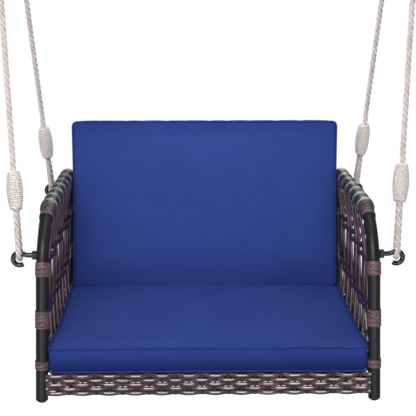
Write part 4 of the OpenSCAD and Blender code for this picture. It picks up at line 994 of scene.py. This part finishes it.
CANE_PHASE = (HANG_Y - FIRST_CANE) / CANE_PITCH + 0.5
olive = winder("arm_olive", "1c1c1c", "3f3f3d", "7b7b78", PITCH / 1000, 0.021)
mauve = winder("band_mauve", "4a3337", "775558", "bfa3a8", PITCH / 1000)


def bend_point(angle):
    a = np.radians(angle)
    y, z = front_centre[0] + FRONT_R * np.cos(a), front_centre[1] + FRONT_R * np.sin(a)
    return columns(0, y, z)


for side, sign in SIDES.items():
    bend = bend_point(np.linspace(113.5, 89.5, 54))
    ys = np.arange(arm_start[0] + 1, rear_centre[0] + REAR_R * math.sin(ARM_FALL), 1.0)
    straight = columns(0, ys, ARM_H - (ys - arm_start[0]) * math.tan(ARM_FALL))
    path = np.vstack([bend, straight])
    y = path[:, 1]
    half = CANE_PITCH / 2
    near = np.clip(np.abs((y - FIRST_CANE + half) % CANE_PITCH - half) / half, 0, 1)
    bulge = 3.5 * (1 - near ** 2.6) * np.clip((y - 84) / 14, 0, 1)
    rings, gone = wound_rings(side_point(sign, path), sign, TUBE_R + 0.8, 0.7, bulge)
    mesh = skin(f"arm_wrap_{side}_wound", rings, gone)
    piece(f"arm_wrap_{side}_wound", mesh, olive, "seat", "arm_strip", f"arm_wrap_{side}")

    bands = []
    for y in (0, DEPTH):
        for foot_z, turns in TIE_ROWS:
            z = np.linspace(foot_z, foot_z + turns * PITCH - 0.4, turns * 9 + 1)
            path = columns(0, y, z)
            if y == 0 and foot_z > front_centre[1]:
                first = math.degrees(math.asin((foot_z - front_centre[1]) / FRONT_R))
                last = first + math.degrees(turns * PITCH / FRONT_R)
                path = bend_point(np.linspace(180 - first, 180 - last, turns * 9 + 1))
            rings, gone = wound_rings(side_point(sign, path), sign, TUBE_R + 0.8, 1.1)
            bands.append(skin("band", rings, gone))
    # three narrow turns finish the arm's wrap on the front bend
    path = bend_point(np.linspace(117.0, 113.4, 10))
    rings, gone = wound_rings(side_point(sign, path), sign, TUBE_R + 0.9, 1.2)
    bands.append(skin("band", rings, gone))
    mesh = joined(f"post_bands_{side}_wound", bands)
    piece(f"post_bands_{side}_wound", mesh, mauve, "seat", "cane", f"post_bands_{side}")

# ---------------------------------------------------------------------------------------
# The cushions: foam cores in covers of royal blue outdoor canvas. Both are boxed, with a
# side band between two piped seams. The back one stands on the seat one between the arms.

WELT = 2.5
SEAT_A, SEAT_B, SEAT_T, SEAT_CROWN, SEAT_FRONT, CROWN_Y = 323.0, 264.0, 55.0, 6.0, -12.0, 425.0
BACK_A, BACK_B, BACK_T, ARM_DENT = 316.0, 189.0, 95.0, 7.0
CUSHION_Z = APRON_TOP + 0.3
CROWN_OFF = (CROWN_Y - SEAT_FRONT - SEAT_B) / SEAT_B
BACK_GAP = back_wrap_r + CANE_R + 0.3 + 1
FOOT_UP = CUSHION_Z + SEAT_T + SEAT_CROWN + 0.3
BACK_FOOT = (FOOT_UP - BACK_FOOT_Z - BACK_GAP * math.sin(RECLINE)) / math.cos(RECLINE)


def canvas(name, turn, band):
    """Plain-woven canvas: two sets of slubby threads. It is painted darker, as shade, over a band of
    height.
    """
    cloth = Finish(name)
    place = cloth.mapped((1, 1, 1), turn)
    x, y, z = (cloth.axis(place, letter) for letter in "XYZ")
    k = 2 * math.pi / 0.0021
    sx, sy, sz = (x * k).sin(), (y * k).sin(), (z * k).sin()
    weave = sx * sy + sy * sz + sz * sx
    weft = cloth.noise(1.0, 3.0, 0.65, cloth.mapped((60, 1400, 1400), turn))
    warp = cloth.noise(1.0, 3.0, 0.65, cloth.mapped((1400, 120, 120), turn))
    soft = cloth.noise(7, 3.0, 0.5)
    threads = weft.above(0.30, 0.70) * 0.55 + warp.above(0.30, 0.70) * 0.45
    blue = cloth.mix(rgba("283d84"), rgba("344c9c"), threads)
    # paler on the weave's raised crossings: a painted highlight
    blue = cloth.mix(blue, rgba("3d55a4"), weave.above(0.6, 2.0) * 0.35)
    blue = cloth.mix(blue, rgba("273a7f"), soft.above(0.35, 0.75) * 0.35)
    # painted shade: over the band of height the blue darkens toward navy, keeping the share least of it
    deep, clear, least = band
    unshaded = cloth.axis(place, "Z").above(deep, clear)
    blue = cloth.mix(rgba("0a1c62"), blue, unshaded * (1 - least) + least)
    cloth.shade(
        Base_Color=blue,
        Roughness=warp * 0.1 + 0.80,
        Specular_IOR_Level=0.2,
        Sheen_Weight=0.05,
        Sheen_Roughness=0.45,
        Sheen_Tint=rgba("5a72cc"),
        Normal=cloth.bump(weave * 0.4 + weft * 1.1 + warp * 1.1, 0.0005, 0.75),
    )
    return cloth.material


def outline(a, b, r, count=11):
    """A rounded rectangle: corners of radius r, evenly stepped."""
    points = []
    for cx, cy, start in ((a - r, b - r, 0), (r - a, b - r, 90), (r - a, r - b, 180), (a - r, r - b, 270)):
        t = np.radians(start + np.linspace(0, 90, 7))
        points.append(columns(cx + r * np.cos(t), cy + r * np.sin(t)))
    closed = np.vstack([*points, points[0][:1]])
    far = lengths(closed)
    at = np.linspace(0, far[-1], 4 * count * 6, endpoint=False)
    return np.stack([np.interp(at, far, closed[:, i]) for i in (0, 1)], axis=-1)


def drawn(p, a, b, draw):
    """Draws the sides in between the corners."""
    x, y = p[..., 0], p[..., 1]
    new_x = x - np.sign(x) * draw[0] * np.maximum(0, 1 - (y / b) ** 2) * np.abs(x / a) ** 6
    new_y = y - np.sign(y) * draw[1] * np.maximum(0, 1 - (x / a) ** 2) * np.abs(y / b) ** 6
    return columns(new_x, new_y)


def crowned(x, y, a, b, crown, off):
    v = np.where(y > off * b, (y - off * b) / (b - off * b), (off * b - y) / (b + off * b))
    return crown * (1 - np.clip(np.abs(x / a), 0, 1) ** 2.4) * (1 - np.clip(v, 0, 1) ** 2.4)


def cushion_start(name, a, b, r, t, draw, place):
    """The cover before it is stuffed: a slightly slack box between its two seams."""
    under = [(6, 0.4), (3.2, 1.2), (WELT, WELT), (2.0, 8)]
    levels = [*under, (1.2, t / 2), *[(inset, t - z) for inset, z in reversed(under)]]
    rings = []
    for inset, z in levels:
        flat = drawn(outline(a - inset, b - inset, max(r - inset, 4)), a, b, draw)
        rings.append(columns(*flat.T, z))
    for share in (0.85, 0.5, 0.02):
        rings.append(np.column_stack([rings[-1][:, :2] * share, rings[-1][:, 2]]))
        rings.insert(0, np.column_stack([rings[0][:, :2] * share, rings[0][:, 2]]))
    rings = np.stack(rings)
    return skin(name, seat(place(rings)), np.arange(len(rings)))


def seam_line(a, b, r, z, draw, place):
    flat = drawn(outline(a - WELT, b - WELT, r - WELT), a, b, draw)
    return seat(place(columns(*flat.T, z)))


def plumped(name, mesh, seams, shrink):
    """Stuffs a cover with Blender's cloth: pressure inside, held along its piped seams."""
    body = bpy.data.objects.new(f"{name}_cover", mesh)
    bpy.context.scene.collection.objects.link(body)
    remesh = body.modifiers.new("remesh", "REMESH")
    remesh.mode, remesh.voxel_size = "VOXEL", 0.0055
    depsgraph = bpy.context.evaluated_depsgraph_get()
    even = bpy.data.meshes.new_from_object(body.evaluated_get(depsgraph), depsgraph=depsgraph)
    body.modifiers.clear()
    body.data = even
    start = points_of(even)
    tree = KDTree(len(seams))
    for i, point in enumerate(seams):
        tree.insert(point, i)
    tree.balance()
    held = body.vertex_groups.new(name="seam")
    for i, point in enumerate(start):
        if tree.find(point)[2] < 0.0045:
            held.add([i], 1.0, "REPLACE")
    cloth = body.modifiers.new("cloth", "CLOTH")
    cloth.settings.quality = 4
    cloth.settings.mass = 0.3
    cloth.settings.use_pressure = True
    cloth.settings.uniform_pressure_force = 4
    cloth.settings.shrink_min = -shrink
    cloth.settings.vertex_group_mass = "seam"
    cloth.settings.effector_weights.gravity = 0
    cloth.collision_settings.use_collision = False
    scene = bpy.context.scene
    for step in range(1, 21):
        scene.frame_set(step)
    depsgraph = bpy.context.evaluated_depsgraph_get()
    full = bpy.data.meshes.new_from_object(body.evaluated_get(depsgraph), depsgraph=depsgraph)
    end = points_of(full)
    bpy.data.meshes.remove(full)
    bpy.data.objects.remove(body)
    scene.frame_set(1)
    return even, start, end


def points_of(mesh):
    co = np.empty(len(mesh.vertices) * 3)
    mesh.vertices.foreach_get("co", co)
    return co.reshape(-1, 3)


def seat_place(p):
    return p + [0, SEAT_FRONT + SEAT_B, CUSHION_Z]


def seat_top(x, y):
    """Height of the seat cushion's top in the seat's millimetres."""
    v = y - SEAT_FRONT - SEAT_B
    return CUSHION_Z + SEAT_T + crowned(x, v, SEAT_A, SEAT_B, SEAT_CROWN, CROWN_OFF)


def unseat(points):
    return points * 1000 + [0, HANG_Y, CEILING_H]


def back_place(p):
    """The back cushion's own axes (across, up, out of the back) in the seat's millimetres."""
    x, y, z = np.moveaxis(np.asarray(p, dtype=float), -1, 0)
    y = y - z * math.tan(RECLINE) * np.clip(-y / BACK_B, 0, 1)
    return back_point(columns(x, -BACK_GAP - z, BACK_FOOT + BACK_B + y))


def off_back(p):
    """Distance out of the back's plane and height up along it, for the seat's millimetres."""
    y, z = p[:, 1] - SEAT_DEPTH, p[:, 2] - BACK_FOOT_Z
    return -(y * math.cos(RECLINE) - z * math.sin(RECLINE)), y * math.sin(RECLINE) + z * math.cos(RECLINE)


def soft_limit(value, most):
    return most * np.tanh(value / most)


ARM_UP = (arch_z(CROWN_Y) * math.cos(LEAN) - BACK_FOOT_Z) / math.cos(RECLINE)


def settle_seat(p):
    """Keeps the stuffed seat cushion on its deck and between the side panels."""
    q = unseat(p)
    q[:, 2] = np.maximum(q[:, 2], CUSHION_Z)
    top = seat_top(q[:, 0], q[:, 1]) + np.where(q[:, 1] > 395, 0.6, 2.5)
    q[:, 2] = np.minimum(q[:, 2], top)
    q[:, 0] = np.clip(q[:, 0], -SEAT_A - 0.8, SEAT_A + 0.8)
    ahead = np.clip((100 - q[:, 1]) / 50, 0, 1)
    q[:, 0] *= 1 + 0.0145 * ahead ** 2 * (3 - 2 * ahead) * np.abs(q[:, 0] / SEAT_A) ** 6
    q[:, 1] = np.clip(q[:, 1], SEAT_FRONT - 2, SEAT_FRONT + 2 * SEAT_B)
    return seat(q)


def settle_back(p):
    """Lays the back cushion on the canes and on the seat cushion, and dents it at the arms."""
    q = unseat(p)
    out, up = off_back(q)
    q[:, 1] -= np.maximum(0, BACK_GAP - 2 - out) / math.cos(RECLINE)
    low = seat_top(q[:, 0], q[:, 1]) + 0.5
    q[:, 2] += (low - q[:, 2]) * np.clip(1 - (q[:, 2] - FOOT_UP + 2) / 26, 0, 1)
    q[:, 2] = np.maximum(q[:, 2], low)
    press = np.where(np.abs(up - ARM_UP) < 62, np.cos(np.pi / 2 * (up - ARM_UP) / 62) ** 2, 0)
    depth = 0.35 + 0.65 * np.clip((BACK_GAP + BACK_T - 8 - out) / 16, 0, 1)
    most = BACK_A - ARM_DENT * press * depth + 1.5 * (1 - press)
    q[:, 0] = np.clip(q[:, 0], -most, most)
    return seat(q)


def cushion(name, node, size, r, draw, place, settle, most, shrink, turn, band):
    """One cushion: its stuffed cover, then the piping sewn round both edges."""
    a, b, t = size
    seams = [seam_line(a, b, r, z, draw, place) for z in (WELT, t - WELT)]
    cover = cushion_start(name, a, b, r, t, draw, place)
    mesh, start, end = plumped(name, cover, np.vstack(seams), shrink)
    move = end - start
    far = np.linalg.norm(move, axis=1, keepdims=True)
    stuffed = start + move * soft_limit(far, most) / np.maximum(far, 1e-9)
    mesh.vertices.foreach_set("co", settle(stuffed).ravel())
    mesh.update()
    mesh.shade_smooth()
    mesh.materials.clear()
    material = canvas(f"{name}_canvas", turn, band)
    shown = piece(name, mesh, material, node, "blue_canvas", node)
    finer = shown.modifiers.new("finer", "SUBSURF")
    finer.levels = finer.render_levels = 1
    ring = circle(WELT - 0.25, 12)
    up = place(np.array([[0.0, 0, 1], [0, 0, 0]]))
    pipes = []
    for seam in seams:
        seam = settle(seam)
        closed = np.vstack([seam, seam[:1]])
        pipes.append(skin("pipe", rings_along(closed, up[0] - up[1], ring), lengths(closed)))
    piping = joined(f"{name}_piping", pipes)
    # the piping's canvas is painted evenly darker: painted shade along the seams
    shaded_piping = canvas(f"{name}_piping_canvas", turn, (5, 6, 0.66))
    return piece(f"{name}_piping", piping, shaded_piping, node, "blue_canvas")


# The last argument of each is its band of painted shade: the seat cushion darker toward its bottom, the
# back cushion darker at its top.
cushion(
    "seat_cushion_stuffed", "seat_cushion", (SEAT_A, SEAT_B, SEAT_T), 9, (2, 2), seat_place,
    settle_seat, 0.010, 0.004, (0, 0, 0), (-0.905, -0.828, 0.12),
)
cushion(
    "back_cushion_stuffed", "back_cushion", (BACK_A, BACK_B, BACK_T), 12, (2, 0), back_place,
    settle_back, 0.013, 0.004, (RECLINE, 0, 0), (-0.424, -0.472, 0.70),
)
